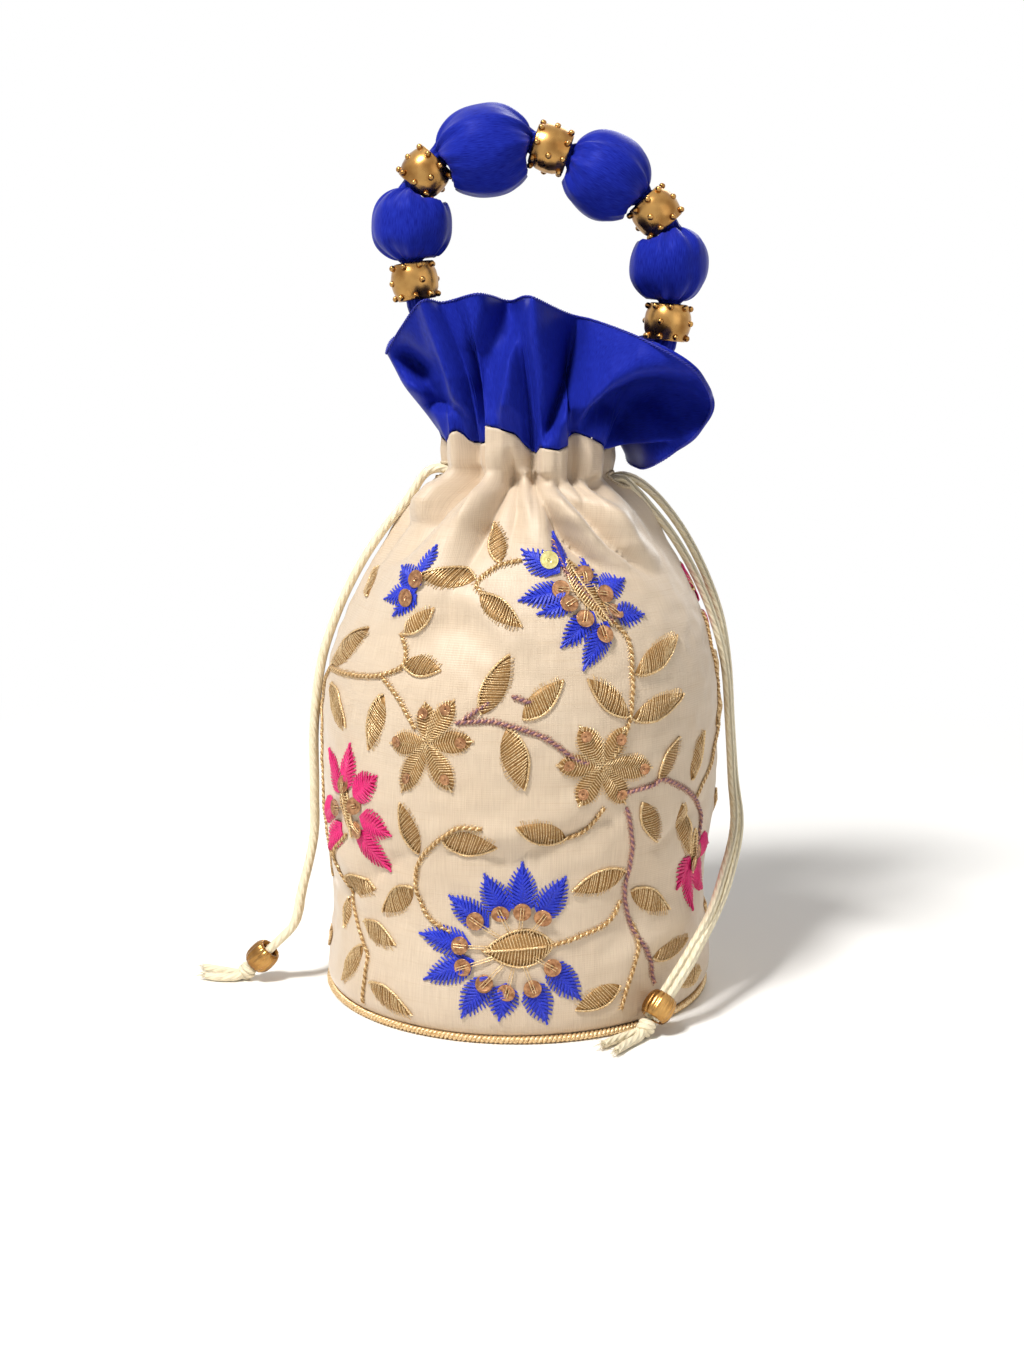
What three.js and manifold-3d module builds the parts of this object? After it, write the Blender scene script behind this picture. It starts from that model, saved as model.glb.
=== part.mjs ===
// A potli: a small drawstring evening bag. The body is ivory dupion silk over a lining, drawn in
// at the neck by two satin drawcords, with a blue satin frill above it and a stuffed hoop handle
// that is strung with five metal rings. Millimetres, +Z up. The origin is the centre of the
// base's underside, -Y is the front and +X is the right-hand side as seen from the front.
import * as THREE from 'three';
import Module from 'manifold-3d';
import { mergeVertices } from 'three/addons/utils/BufferGeometryUtils.js';

const wasm = await Module();
wasm.setup();

// Clearance between pieces that are sewn, glued or pressed together
const seat = 0.35;
const seamGap = 0.6;

// Body
const bagRadius = 69;
const shoulderHeight = 98;
const shoulderFullness = 2.1;
const neckHeight = 181;
const neckRadius = 25.5;
const neckLean = 4;
const footRadius = 8;
const waistHeight = 38;
const waistSpread = 35;
const waistDip = 2.5;
const clothThickness = 1;
const liningThickness = 0.8;
const liningEase = 0.8;

// Gathers: where each crest stands, in degrees from the front towards +X
const crestAzimuths = [-60, -20, 15, 46, 90, 122, 158, 193, 230, 270];
const gatherDepth = 4.3;
const gatherFade = 22;
const headerHeight = 9;
const headerWander = 4;

// Base
const panelThickness = 1;
const boardThickness = 2;
const boardMargin = 5.5;
const pipingRadius = 1.4;

// Drawcords and their casing
const cordDiameter = 3;
const cordPitch = 3.4;
const casingHalfHeight = 4.7;
const casingExit = 32;
const casingSteps = 12;
const slotHeight = 4.6;
const slotWidth = 8;

// Frill
const frillHeight = 51;
const frillThickness = 1.4;

// The frill's free edge. Each row has its place among the gathers (a whole number is a crest, and a
// half the valley after it), then sideways, backwards and above the seam as shares of the frill's
// height, then how far out, as a share, and how far up, in heights, the cloth goes before it bends.
const frillEdge = [
  [0, -0.69, -0.39, 0.95, 0.25, 0.55], [0.5, -0.55, -0.28, 0.96, 0.2, 0.5],
  [1, -0.33, -0.51, 1.01, 0.2, 0.5], [1.5, -0.13, -0.34, 0.97, 0.2, 0.5],
  [2, 0.0, -0.55, 0.99, 0.25, 0.5], [2.5, 0.24, -0.34, 0.89, 0.15, 0.5],
  [2.75, 0.52, -0.53, 0.8, 0.2, 0.6], [3, 0.85, -0.71, 0.64, 0.3, 0.75],
  [3.25, 1.07, -0.78, 0.47, 0.35, 0.72], [3.5, 1.16, -0.71, 0.29, 0.1, 0.3],
  [3.75, 1.05, -0.63, 0.11, 0.3, 0.05], [4, 0.88, -0.38, -0.03, 0.6, 0.2],
  [4.25, 0.72, -0.06, -0.12, 0.6, 0.22], [4.5, 0.68, 0.2, 0.02, 0.4, 0.35],
  [5, 0.91, 0.47, 0.68, 0.3, 0.5], [5.5, 0.73, 0.59, 0.73, 0.2, 0.5],
  [6, 0.46, 0.82, 0.81, 0.3, 0.5], [6.5, 0.22, 0.61, 0.87, 0.2, 0.5],
  [7, -0.04, 0.84, 0.97, 0.3, 0.5], [7.5, -0.25, 0.55, 0.93, 0.2, 0.5],
  [8, -0.52, 0.75, 0.96, 0.3, 0.5], [8.5, -0.67, 0.41, 0.89, 0.25, 0.5],
  [9, -0.91, 0.27, 0.74, 0.5, 0.45], [9.5, -0.97, -0.06, 0.64, 0.7, 0.45],
];

// Handle: a chain of straight links from the left leg's top to the right leg's top
const handleAcross = -37.9;
const handleRise = 58.8;
const tubeRadius = 4;
const rootRadius = 2.6;
const coverThickness = 1;
const ringLength = 13;
const ringRadius = 8;
const ringBore = 4.7;
const studRadius = 1;
const dentMargin = 4;
const studsPerRow = 7;
const handleLinks = [
  { heading: 98 },
  { heading: 89, length: 24.2, radius: 13.6 },
  { heading: 48 },
  { heading: 9, length: 32, radius: 15 },
  { heading: -18 },
  { heading: -29, length: 28.4, radius: 14.6 },
  { heading: -48 },
  { heading: -88, length: 25, radius: 13.6 },
  { heading: -95 },
];

// End beads and knots
const beadHalfLength = 4.4;
const beadRadius = 5.3;
const beadBore = 3.5;
const knotRadius = 3.3;
const strandRun = 14;

// Embroidery
const threadThickness = 0.5;
const threadLift = 0.7;
const blueFlowerRadius = 26;
const pinkFlowerRadius = 20;
const pinkSideFlowerRadius = 14;
const goldFlowerRadius = 12.5;
const goldWideFlowerRadius = 14.5;

// Facets
const columnsPerGather = 5;
const liningColumnsPerGather = 4;
const tubeSides = 8;
const ringSides = 14;
const discSides = 44;

const gatherCount = crestAzimuths.length;
const sideways = new THREE.Vector3(0, 1, 0);

const potli = new THREE.Group();

function finish(color, roughness, metalness) {
  return new THREE.MeshStandardMaterial({ color, roughness, metalness });
}

const ivorySilk = finish(0xdcc9a8, 0.6, 0);
const liningCloth = finish(0x1f2c8f, 0.7, 0);
const blueSatin = finish(0x1d27a8, 0.45, 0);
const zari = finish(0xb28c52, 0.4, 0.6);
const greyBoard = finish(0x8a7a62, 0.9, 0);
const satinCord = finish(0xf1e7c2, 0.5, 0);
const antiqueGold = finish(0xb58b45, 0.3, 1);
const stuffing = finish(0xe8e4da, 0.95, 0);
const blueThread = finish(0x2038d0, 0.6, 0);
const pinkThread = finish(0xe8287c, 0.6, 0);

function addPiece(name, geometry, material, parent = potli) {
  const mesh = new THREE.Mesh(geometry, material);
  mesh.name = name;
  parent.add(mesh);
  return mesh;
}

// Solids

// Six times the volume inside a list of triangles, negative where the faces point in
function signedVolume(points, faces) {
  return faces.reduce((sum, [a, b, c]) => sum + points[a].dot(points[b].clone().cross(points[c])), 0);
}

// Joins rings of points, each ring with as many points, into one closed solid. A wrapped solid
// runs back from the last ring to the first, and any other is capped at both ends.
function skin(rings, wrap) {
  const points = rings.flat();
  const across = rings[0].length;
  const faces = [];
  const spans = wrap ? rings.length : rings.length - 1;
  for (let row = 0; row < spans; row += 1) {
    const above = (row + 1) % rings.length;
    for (let column = 0; column < across; column += 1) {
      const beside = (column + 1) % across;
      const corner = row * across + column;
      const opposite = above * across + beside;
      faces.push([corner, row * across + beside, opposite]);
      faces.push([corner, opposite, above * across + column]);
    }
  }
  if (!wrap) {
    const first = points.length;
    for (const ring of [rings[0], rings.at(-1)]) {
      points.push(ring.reduce((sum, point) => sum.add(point), new THREE.Vector3()).divideScalar(across));
    }
    const last = (rings.length - 1) * across;
    for (let column = 0; column < across; column += 1) {
      const beside = (column + 1) % across;
      faces.push([first, beside, column]);
      faces.push([first + 1, last + column, last + beside]);
    }
  }
  const outward = signedVolume(points, faces) > 0;
  const geometry = new THREE.BufferGeometry().setFromPoints(points);
  geometry.setIndex(faces.flatMap(([a, b, c]) => (outward ? [a, b, c] : [a, c, b])));
  geometry.computeVertexNormals();
  return geometry;
}

function toSolid(geometry) {
  const bare = geometry.clone();
  bare.deleteAttribute('normal');
  bare.deleteAttribute('uv');
  const merged = mergeVertices(bare, 1e-4);
  const vertProperties = new Float32Array(merged.attributes.position.array);
  const triVerts = new Uint32Array(merged.index.array);
  return new wasm.Manifold(new wasm.Mesh({ numProp: 3, vertProperties, triVerts }));
}

function fromSolid(solid) {
  const mesh = solid.getMesh();
  const geometry = new THREE.BufferGeometry();
  geometry.setAttribute('position', new THREE.BufferAttribute(mesh.vertProperties, 3));
  geometry.setIndex(new THREE.BufferAttribute(mesh.triVerts, 1));
  geometry.computeVertexNormals();
  return geometry;
}

// Form of the body: a full round bag on a flat foot, drawn in above the shoulder

function roundRadius(z) {
  let radius = bagRadius;
  if (z > shoulderHeight) {
    const drawn = Math.min((z - shoulderHeight) / (neckHeight - shoulderHeight), 1);
    radius = neckRadius + (bagRadius - neckRadius) * (1 - drawn ** shoulderFullness);
  }
  const fromWaist = Math.abs(z - waistHeight) / waistSpread;
  if (fromWaist < 1) radius -= waistDip * Math.cos((fromWaist * Math.PI) / 2) ** 2;
  const fromFloor = Math.max(z, 0);
  if (fromFloor < footRadius) {
    radius -= footRadius * (1 - Math.sqrt(1 - ((footRadius - fromFloor) / footRadius) ** 2));
  }
  return radius;
}

function leanAt(z) {
  return neckLean * (Math.min(Math.max(z, 0), neckHeight) / neckHeight) ** 2;
}

function gatherDepthAt(z) {
  if (z >= neckHeight) return gatherDepth;
  return gatherDepth * Math.exp(-(((neckHeight - z) / gatherFade) ** 1.3));
}

// Columns run round the bag, the same number to each gather. A phase of 0 is a crest and 0.5 the
// valley beside it.
function gatherColumns(perGather) {
  return crestAzimuths.flatMap((crest, gather) => {
    const next = gather + 1 < gatherCount ? crestAzimuths[gather + 1] : crestAzimuths[0] + 360;
    return Array.from({ length: perGather }, (_, step) => {
      const phase = step / perGather;
      return { gather, phase, azimuth: crest + phase * (next - crest), wave: Math.cos(2 * Math.PI * phase) };
    });
  });
}

// How far a place stands on a crest (1) or in a valley (-1) at any azimuth
function waveAt(azimuth) {
  const turned = THREE.MathUtils.euclideanModulo(azimuth - crestAzimuths[0], 360) + crestAzimuths[0];
  let gather = gatherCount - 1;
  while (crestAzimuths[gather] > turned) gather -= 1;
  const next = gather + 1 < gatherCount ? crestAzimuths[gather + 1] : crestAzimuths[0] + 360;
  return Math.cos((2 * Math.PI * (turned - crestAzimuths[gather])) / (next - crestAzimuths[gather]));
}

function place(azimuth, radius, z) {
  const turn = THREE.MathUtils.degToRad(azimuth);
  return new THREE.Vector3(leanAt(z) + radius * Math.sin(turn), -radius * Math.cos(turn), z);
}

function clothPoint(azimuth, z) {
  return place(azimuth, roundRadius(z) + gatherDepthAt(z) * waveAt(azimuth), z);
}

// A place on the side cloth's outer face, moved out along the cloth's normal by the lift
function onCloth(azimuth, z, lift) {
  const step = 0.2;
  const round = clothPoint(azimuth + step, z).sub(clothPoint(azimuth - step, z));
  const up = clothPoint(azimuth, z + step).sub(clothPoint(azimuth, z - step));
  return clothPoint(azimuth, z).addScaledVector(round.cross(up).normalize(), lift);
}

// Side cloth and lining

function seamHeight(wave) {
  return neckHeight + headerHeight + headerWander * wave;
}

const footStart = panelThickness + seat;
const wallHeights = [0.37, 0.72, 1].map((share) => share * shoulderHeight);
const bodyHeights = [
  footStart,
  footRadius / 2,
  footRadius * 1.3,
  ...wallHeights,
  ...[0.27, 0.48, 0.65, 0.78, 0.88, 0.95, 1].map(
    (share) => shoulderHeight + share * (neckHeight - shoulderHeight),
  ),
];

function sideClothRings(lift) {
  const columns = gatherColumns(columnsPerGather);
  const body = bodyHeights.map((z) => columns.map(({ azimuth }) => onCloth(azimuth, z, lift)));
  const header = [0.5, 1].map((share) =>
    columns.map(({ azimuth, wave }) => {
      const z = neckHeight + share * (seamHeight(wave) - neckHeight);
      const point = onCloth(azimuth, z, lift);
      point.z = z;
      return point;
    }),
  );
  return [...body, ...header];
}

function makeSideCloth() {
  const outside = sideClothRings(0);
  const inside = sideClothRings(-clothThickness);
  const tube = toSolid(skin([...outside, ...inside.reverse()], true));
  return fromSolid(tube.subtract(slotCutter(-1)).subtract(slotCutter(1)));
}

const casingCordRadius = neckRadius - gatherDepth - clothThickness - cordDiameter / 2 - 2 * seat;
const casingLiningRadius = casingCordRadius - cordDiameter / 2 - liningEase;
const liningTopRadius = neckRadius - gatherDepth - clothThickness - liningEase;
const boardTop = panelThickness + seat + boardThickness;

function liningPoint({ azimuth, wave }, z, inset) {
  const slope = (roundRadius(z + 1) - roundRadius(z - 1)) / 2;
  const offset = (clothThickness + liningEase + inset) * Math.hypot(1, slope);
  const depth = gatherDepthAt(z);
  return place(azimuth, roundRadius(z) - offset - 0.6 * depth + 0.4 * depth * wave, z);
}

function liningRings(inset) {
  const columns = gatherColumns(liningColumnsPerGather);
  const floor = boardTop + seat + inset;
  const boardRadius = roundRadius(footStart) - boardMargin;
  const rings = [
    columns.map(({ azimuth }) => place(azimuth, boardRadius / 2, floor)),
    columns.map(({ azimuth }) => place(azimuth, boardRadius - inset, floor)),
  ];
  const heights = [
    footRadius * 1.3,
    ...wallHeights,
    ...[0.35, 0.65, 0.86].map((share) => shoulderHeight + share * (neckHeight - shoulderHeight)),
  ];
  rings.push(...heights.map((z) => columns.map((column) => liningPoint(column, z, inset))));
  for (const z of [neckHeight - casingHalfHeight, neckHeight + casingHalfHeight]) {
    rings.push(columns.map(({ azimuth, wave }) => place(azimuth, casingLiningRadius - inset - 0.8 * (1 - wave), z)));
  }
  rings.push(columns.map(({ azimuth, wave }) => place(azimuth, liningTopRadius - inset, seamHeight(wave) - seat)));
  return rings;
}

// Slots through the side cloth where the cords leave the casing, the left one (-1) for the upper
// cord and the right one (1) for the lower
function slotCutter(side) {
  const reach = 2 * (gatherDepth + clothThickness) + 6;
  const cutter = new THREE.BoxGeometry(reach, slotWidth, slotHeight);
  cutter.translate(neckLean + side * neckRadius, 0, cordHeight(side));
  return toSolid(cutter);
}

function cordHeight(side) {
  return neckHeight - (side * cordPitch) / 2;
}

addPiece('bag_shell', makeSideCloth(), ivorySilk);
addPiece('bag_lining', skin([...liningRings(0), ...liningRings(liningThickness).reverse()], false), liningCloth);

// Base: a cloth panel under a stiff board, with a corded piping round the edge

function makeDisc(radius, thickness, bottom) {
  const disc = new THREE.CylinderGeometry(radius, radius, thickness, discSides);
  disc.rotateX(Math.PI / 2);
  disc.translate(0, 0, bottom + thickness / 2);
  return disc;
}

const pipingMajor = roundRadius(footStart) + pipingRadius + 2 * seat;
const piping = new THREE.TorusGeometry(pipingMajor, pipingRadius, 6, discSides);
piping.translate(0, 0, pipingRadius);
addPiece('base_piping', piping, zari);
addPiece('base_panel', makeDisc(pipingMajor - pipingRadius - 2 * seat, panelThickness, 0), ivorySilk);
addPiece('base_board', makeDisc(roundRadius(footStart) - boardMargin / 2, boardThickness, footStart), greyBoard);

// Frill: a doubled band of satin that rises from the seam and falls open in deep folds

const frillEdgeCurve = new THREE.CatmullRomCurve3(
  frillEdge.map(([, across, back, rise]) => new THREE.Vector3(
    neckLean + across * frillHeight,
    back * frillHeight,
    neckHeight + headerHeight + rise * frillHeight,
  )),
  true,
  'catmullrom',
);
const frillBendCurve = new THREE.CatmullRomCurve3(
  frillEdge.map(([, , , , spread, lift]) => new THREE.Vector3(spread, lift, 0)),
  true,
  'catmullrom',
);
const frillGathers = [...frillEdge.map(([gather]) => gather), gatherCount];

// Where a place among the gathers lies along the edge, from 0 to 1
function alongEdge(gather) {
  const row = frillGathers.findLastIndex((start) => start <= gather);
  const step = (gather - frillGathers[row]) / (frillGathers[row + 1] - frillGathers[row]);
  return (row + step) / frillEdge.length;
}

function frillRings() {
  const columns = gatherColumns(columnsPerGather);
  return [0, 0.12, 0.28, 0.46, 0.64, 0.82, 1].map((share) =>
    columns.map(({ gather, phase, azimuth, wave }) => {
      const start = clothPoint(azimuth, seamHeight(wave));
      start.z += seamGap;
      const along = alongEdge(gather + phase);
      const end = frillEdgeCurve.getPoint(along);
      const bend = frillBendCurve.getPoint(along);
      const middle = start.clone().lerp(end, bend.x);
      middle.z = start.z + bend.y * frillHeight;
      return new THREE.QuadraticBezierCurve3(start, middle, end).getPoint(share);
    }),
  );
}

// The same rings moved along the sheet's own normals
function shifted(rings, distance) {
  const across = rings[0].length;
  return rings.map((ring, row) =>
    ring.map((point, column) => {
      const round = ring[(column + 1) % across].clone().sub(ring[(column + across - 1) % across]);
      const below = rings[Math.max(row - 1, 0)][column];
      const above = rings[Math.min(row + 1, rings.length - 1)][column];
      const normal = round.cross(above.clone().sub(below)).normalize();
      if (row === 0) normal.setZ(0).normalize();
      return point.clone().addScaledVector(normal, distance);
    }),
  );
}

const frillOutside = frillRings();
addPiece('frill', skin([...frillOutside, ...shifted(frillOutside, -frillThickness).reverse()], true), blueSatin);

// Handle

function headingVector(degrees) {
  const turn = THREE.MathUtils.degToRad(degrees);
  return new THREE.Vector3(Math.cos(turn), 0, Math.sin(turn));
}

// Each link with its two ends, laid end to end from the top of the left leg
function layLinks() {
  let end = new THREE.Vector3(neckLean + handleAcross, 0, neckHeight + handleRise);
  return handleLinks.map((link) => {
    const start = end;
    const axis = headingVector(link.heading);
    end = start.clone().addScaledVector(axis, link.length ?? ringLength);
    return { ...link, start, end, axis, isBall: 'radius' in link };
  });
}

const links = layLinks();
const rootAcross = liningTopRadius - rootRadius + seat;
const rootHeight = seamHeight(1) + seat;

// A leg rises straight from its root and bends into the first link
function legCurve(side, top, topAxis) {
  const root = new THREE.Vector3(neckLean + side * rootAcross, 0, rootHeight);
  const reach = root.distanceTo(top) / 3;
  return new THREE.CubicBezierCurve3(
    root,
    root.clone().add(new THREE.Vector3(0, 0, reach)),
    top.clone().addScaledVector(topAxis, -reach * 0.5),
    top,
  );
}

// A section of the cover: its centre, the heading of its axis and its radius
function legSections(curve, flip) {
  const sections = [0, 0.25, 0.5, 0.75].map((share) => {
    const tangent = curve.getTangent(share);
    const heading = THREE.MathUtils.radToDeg(Math.atan2(tangent.z, tangent.x));
    const radius = THREE.MathUtils.lerp(rootRadius, tubeRadius, Math.min(share / 0.75, 1));
    return { centre: curve.getPoint(share), heading: flip ? heading - 180 : heading, radius };
  });
  return flip ? sections.reverse() : sections;
}

function ballSections({ start, end, heading, radius }) {
  return [0.1, 0.26, 0.5, 0.74, 0.9].map((share) => ({
    centre: start.clone().lerp(end, share),
    heading,
    radius: tubeRadius + (radius - tubeRadius) * Math.sin(Math.PI * share) ** 0.75,
    ball: true,
  }));
}

function coverSections() {
  const leftTop = links[0].start;
  const rightTop = links.at(-1).end;
  const leftLeg = legCurve(-1, leftTop, links[0].axis);
  const rightLeg = legCurve(1, rightTop, links.at(-1).axis.clone().negate());
  const chain = links.flatMap((link) => {
    if (link.isBall) return ballSections(link);
    return [link.start, link.end].map((centre) => ({ centre, heading: link.heading, radius: tubeRadius }));
  });
  return [...legSections(leftLeg, false), ...chain, ...legSections(rightLeg, true)];
}

// Where a ball bears on a ring, the cloth is dented by the ring's end face
function dentedBy(point, wall) {
  for (const ring of links.filter((link) => !link.isBall)) {
    for (const [face, outward] of [[ring.start, -1], [ring.end, 1]]) {
      const from = point.clone().sub(face);
      const along = from.dot(ring.axis) * outward;
      const away = Math.sqrt(Math.max(from.lengthSq() - along * along, 0));
      const clear = seat + 0.3 + wall;
      if (away < ringRadius + dentMargin && along > -ringLength / 2 && along < clear) {
        point.addScaledVector(ring.axis, outward * (clear - along));
      }
    }
  }
  return point;
}

function coverRings(wall) {
  return coverSections().map(({ centre, heading, radius, ball }) => {
    const upward = headingVector(heading + 90);
    return Array.from({ length: tubeSides }, (_, side) => {
      const turn = (2 * Math.PI * side) / tubeSides;
      const point = centre.clone();
      point.addScaledVector(upward, (radius - wall) * Math.cos(turn));
      point.addScaledVector(sideways, (radius - wall) * Math.sin(turn));
      return ball ? dentedBy(point, wall) : point;
    });
  });
}

const handle = new THREE.Group();
potli.add(handle);
const coverOutside = coverRings(0);
addPiece('handle_cover', skin([...coverOutside, ...coverRings(coverThickness).reverse()], true), blueSatin, handle);

// A stuffed ball inside each swelling of the cover
links.filter((link) => link.isBall).forEach(({ start, end, radius, axis, length }, index) => {
  const within = Math.cos(Math.PI / tubeSides) * (radius - coverThickness) - seat;
  const core = new THREE.SphereGeometry(within, tubeSides, 5);
  core.scale(1, (length * 0.27) / within, 1);
  const ball = addPiece(`handle_core_${index + 1}`, core, stuffing, handle);
  ball.position.copy(start).lerp(end, 0.5);
  ball.quaternion.setFromUnitVectors(sideways, axis);
});

// A barrel ring with raised studs round both rims and a few between them
function makeRing() {
  const half = ringLength / 2 - 0.3;
  const profile = [
    [ringBore, -half], [ringRadius - 1.4, -half], [ringRadius - 0.3, -half * 0.65], [ringRadius, 0],
    [ringRadius - 0.3, half * 0.65], [ringRadius - 1.4, half], [ringBore, half], [ringBore, -half],
  ].map(([radius, along]) => new THREE.Vector2(radius, along));
  let ring = toSolid(new THREE.LatheGeometry(profile, ringSides));
  const rows = [[-half * 0.68, 0, studsPerRow], [half * 0.68, 0.5, studsPerRow], [0, 0.25, studsPerRow / 2]];
  for (const [along, offset, count] of rows) {
    for (let stud = 0; stud < count; stud += 1) {
      const turn = (2 * Math.PI * (stud + offset)) / count;
      const bead = new THREE.OctahedronGeometry(studRadius, 0);
      bead.translate((ringRadius - 0.1) * Math.cos(turn), along, (ringRadius - 0.1) * Math.sin(turn));
      ring = ring.add(toSolid(bead));
    }
  }
  return fromSolid(ring);
}

const ringGeometry = makeRing();
links.filter((link) => !link.isBall).forEach(({ start, end, axis }, index) => {
  const ring = addPiece(`handle_ring_${index + 1}`, ringGeometry, antiqueGold, handle);
  ring.position.copy(start).lerp(end, 0.5);
  ring.quaternion.setFromUnitVectors(sideways, axis);
});

// Drawcords

// A curve that steps from one listed point to the next
class Route extends THREE.CatmullRomCurve3 {
  getPointAt(share, target) {
    return this.getPoint(share, target);
  }

  getTangentAt(share, target) {
    return this.getTangent(share, target);
  }
}

function sweepCord(points) {
  const section = new THREE.Shape();
  const sides = 8;
  for (let side = 0; side < sides; side += 1) {
    const turn = (2 * Math.PI * side) / sides;
    const corner = [(cordDiameter / 2) * Math.cos(turn), (cordDiameter / 2) * Math.sin(turn)];
    if (side === 0) section.moveTo(...corner);
    else section.lineTo(...corner);
  }
  section.closePath();
  const route = new Route(points);
  return new THREE.ExtrudeGeometry(section, { steps: points.length - 1, extrudePath: route, curveSegments: 1 });
}

// The part of a cord that runs round the neck in the casing, from the front strand to the back one
function casingTurn(side) {
  const turn = 360 - 2 * casingExit;
  const around = Array.from({ length: casingSteps + 1 }, (_, step) => {
    const azimuth = side * (90 - casingExit - (turn * step) / casingSteps);
    return place(azimuth, casingCordRadius, neckHeight).setZ(cordHeight(side));
  });
  const [front, back] = [-1, 1].map(
    (aside) => new THREE.Vector3(neckLean + side * casingCordRadius, aside * 0.75 * cordDiameter, cordHeight(side)),
  );
  return [front, ...around, back];
}

function toPoints(rows) {
  return rows.map(([x, y, z]) => new THREE.Vector3(x, y, z));
}

// The end of a cord: both strands run straight through a bead and stop in a knot
function strandEnd(bead, axis, beside, side) {
  const spread = beside.clone().multiplyScalar((side * 1.1 * cordDiameter) / 2);
  return [-strandRun, beadHalfLength + 0.2].map((along) => bead.clone().addScaledVector(axis, along).add(spread));
}

const leftEnd = {
  bead: new THREE.Vector3(-91.5, -8, 9.2),
  axis: new THREE.Vector3(-0.7, 0.1, -0.7).normalize(),
  beside: new THREE.Vector3(0.141, 0.99, 0).normalize(),
};
const rightEnd = {
  bead: new THREE.Vector3(47, -58, 9.2),
  axis: new THREE.Vector3(-0.55, -0.45, -0.7).normalize(),
  beside: new THREE.Vector3(0.633, -0.774, 0).normalize(),
};

// Both left strands lie side by side down the shoulder, then leave the body for the bead
function leftStrand(side) {
  const run = toPoints([
    [-23, side * 1.8, 182.7], [-28, side * 1.9, 183.2], [-32.4, side * 2, 180.8],
    [-38, side * 2, 172.4], [-47, side * 2, 161.3], [-55.4, side * 2, 148.5],
    [-63, side * 1.9, 133], [-69, side * 1.8, 115], [-72, side * 1.8, 92],
    [-72.4, side * 1.8, 68], [-73.5, side * 1.8 - 1, 48],
  ]);
  return [...run, ...strandEnd(leftEnd.bead, leftEnd.axis, leftEnd.beside, side)];
}

const rightInner = toPoints([
  [31, -1.8, 179.3], [36.5, -1.9, 179.6], [41, -1.9, 175.6],
  [46, -1.9, 170], [54, -1.9, 160], [61.5, -1.9, 147.5],
  [68, -1.9, 133], [73, -1.8, 115], [75, -1.8, 94], [76.3, -3, 74],
  [76.5, -11, 58], [71, -25, 44], [65, -36.8, 33],
]);
const rightOuter = toPoints([
  [31, 1.8, 179.3], [37, 1.9, 180.5], [43.5, 2.2, 177.6],
  [51, 2.4, 170.5], [59, 2.4, 159.5], [66, 2.2, 146],
  [71.5, 1.9, 131], [74.5, 1.8, 114], [76, 1.8, 94], [77.6, 0.4, 74],
  [78.8, -8, 58], [74.2, -22, 44], [67.8, -34, 33],
]);

function leftCordPoints() {
  return [...leftStrand(-1).reverse(), ...casingTurn(-1), ...leftStrand(1)];
}

function rightCordPoints() {
  const { bead, axis, beside } = rightEnd;
  const inner = [...rightInner, ...strandEnd(bead, axis, beside, -1)];
  const outer = [...rightOuter, ...strandEnd(bead, axis, beside, 1)];
  return [...inner.reverse(), ...casingTurn(1), ...outer];
}

addPiece('left_drawcord', sweepCord(leftCordPoints()), satinCord);
addPiece('right_drawcord', sweepCord(rightCordPoints()), satinCord);

function makeEndBead() {
  const profile = [
    [beadBore, -beadHalfLength], [beadRadius - 1, -beadHalfLength], [beadRadius, -beadHalfLength * 0.5],
    [beadRadius, beadHalfLength * 0.5], [beadRadius - 1, beadHalfLength], [beadBore, beadHalfLength],
    [beadBore, -beadHalfLength],
  ].map(([radius, along]) => new THREE.Vector2(radius, along));
  return new THREE.LatheGeometry(profile, ringSides);
}

// A knot with its two cut tails, which lie on the surface that the bag stands on
function makeKnot(centre, tails) {
  let knot = toSolid(new THREE.SphereGeometry(knotRadius, 10, 8).translate(...centre.toArray()));
  for (const tail of tails) knot = knot.add(toSolid(sweepCord([centre, ...toPoints(tail)])));
  return fromSolid(knot);
}

function addCordEnd(name, { bead, axis }, tails) {
  const collar = addPiece(`${name}_end_bead`, makeEndBead(), antiqueGold);
  collar.position.copy(bead);
  collar.quaternion.setFromUnitVectors(sideways, axis);
  const centre = bead.clone().addScaledVector(axis, beadHalfLength + knotRadius + seat);
  addPiece(`${name}_knot`, makeKnot(centre, tails), satinCord);
}

addCordEnd('left', leftEnd, [
  [[-101, -5, 1.9], [-107, -2, 1.7], [-114, 1.5, 1.7]],
  [[-101, -9, 1.9], [-107, -9, 1.7], [-112, -7.5, 1.7]],
]);
addCordEnd('right', rightEnd, [
  [[38.5, -63, 1.9], [33, -67, 1.7], [28, -72, 1.7]],
  [[40, -66, 1.9], [36, -71, 1.7], [32, -77, 1.7]],
]);

// Embroidery: flowers worked in thick thread, raised on the side cloth

// A flower that follows the cloth: pointed petals round a centre at an azimuth and a height
function makeFlower({ azimuth, height, radius, petals, notch }) {
  const stepsPerPetal = 4;
  const slope = (roundRadius(height + 1) - roundRadius(height - 1)) / 2;
  const perDegree = THREE.MathUtils.degToRad(1) * roundRadius(height);
  const ringAt = (share, lift) => Array.from({ length: petals * stepsPerPetal }, (_, step) => {
    const angle = (2 * Math.PI * step) / (petals * stepsPerPetal);
    const aside = Math.abs(Math.sin((petals * angle) / 2));
    const reach = radius * share * (1 - notch * share * aside ** 0.8);
    const across = (reach * Math.sin(angle)) / perDegree;
    const up = (reach * Math.cos(angle)) / Math.hypot(1, slope);
    return onCloth(azimuth + across, height + up, lift);
  });
  const shares = [0.25, 0.6, 1];
  const under = shares.map((share) => ringAt(share, threadLift));
  const over = shares.map((share) => ringAt(share, threadLift + threadThickness));
  return skin([...under, ...over.reverse()], false);
}

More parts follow.
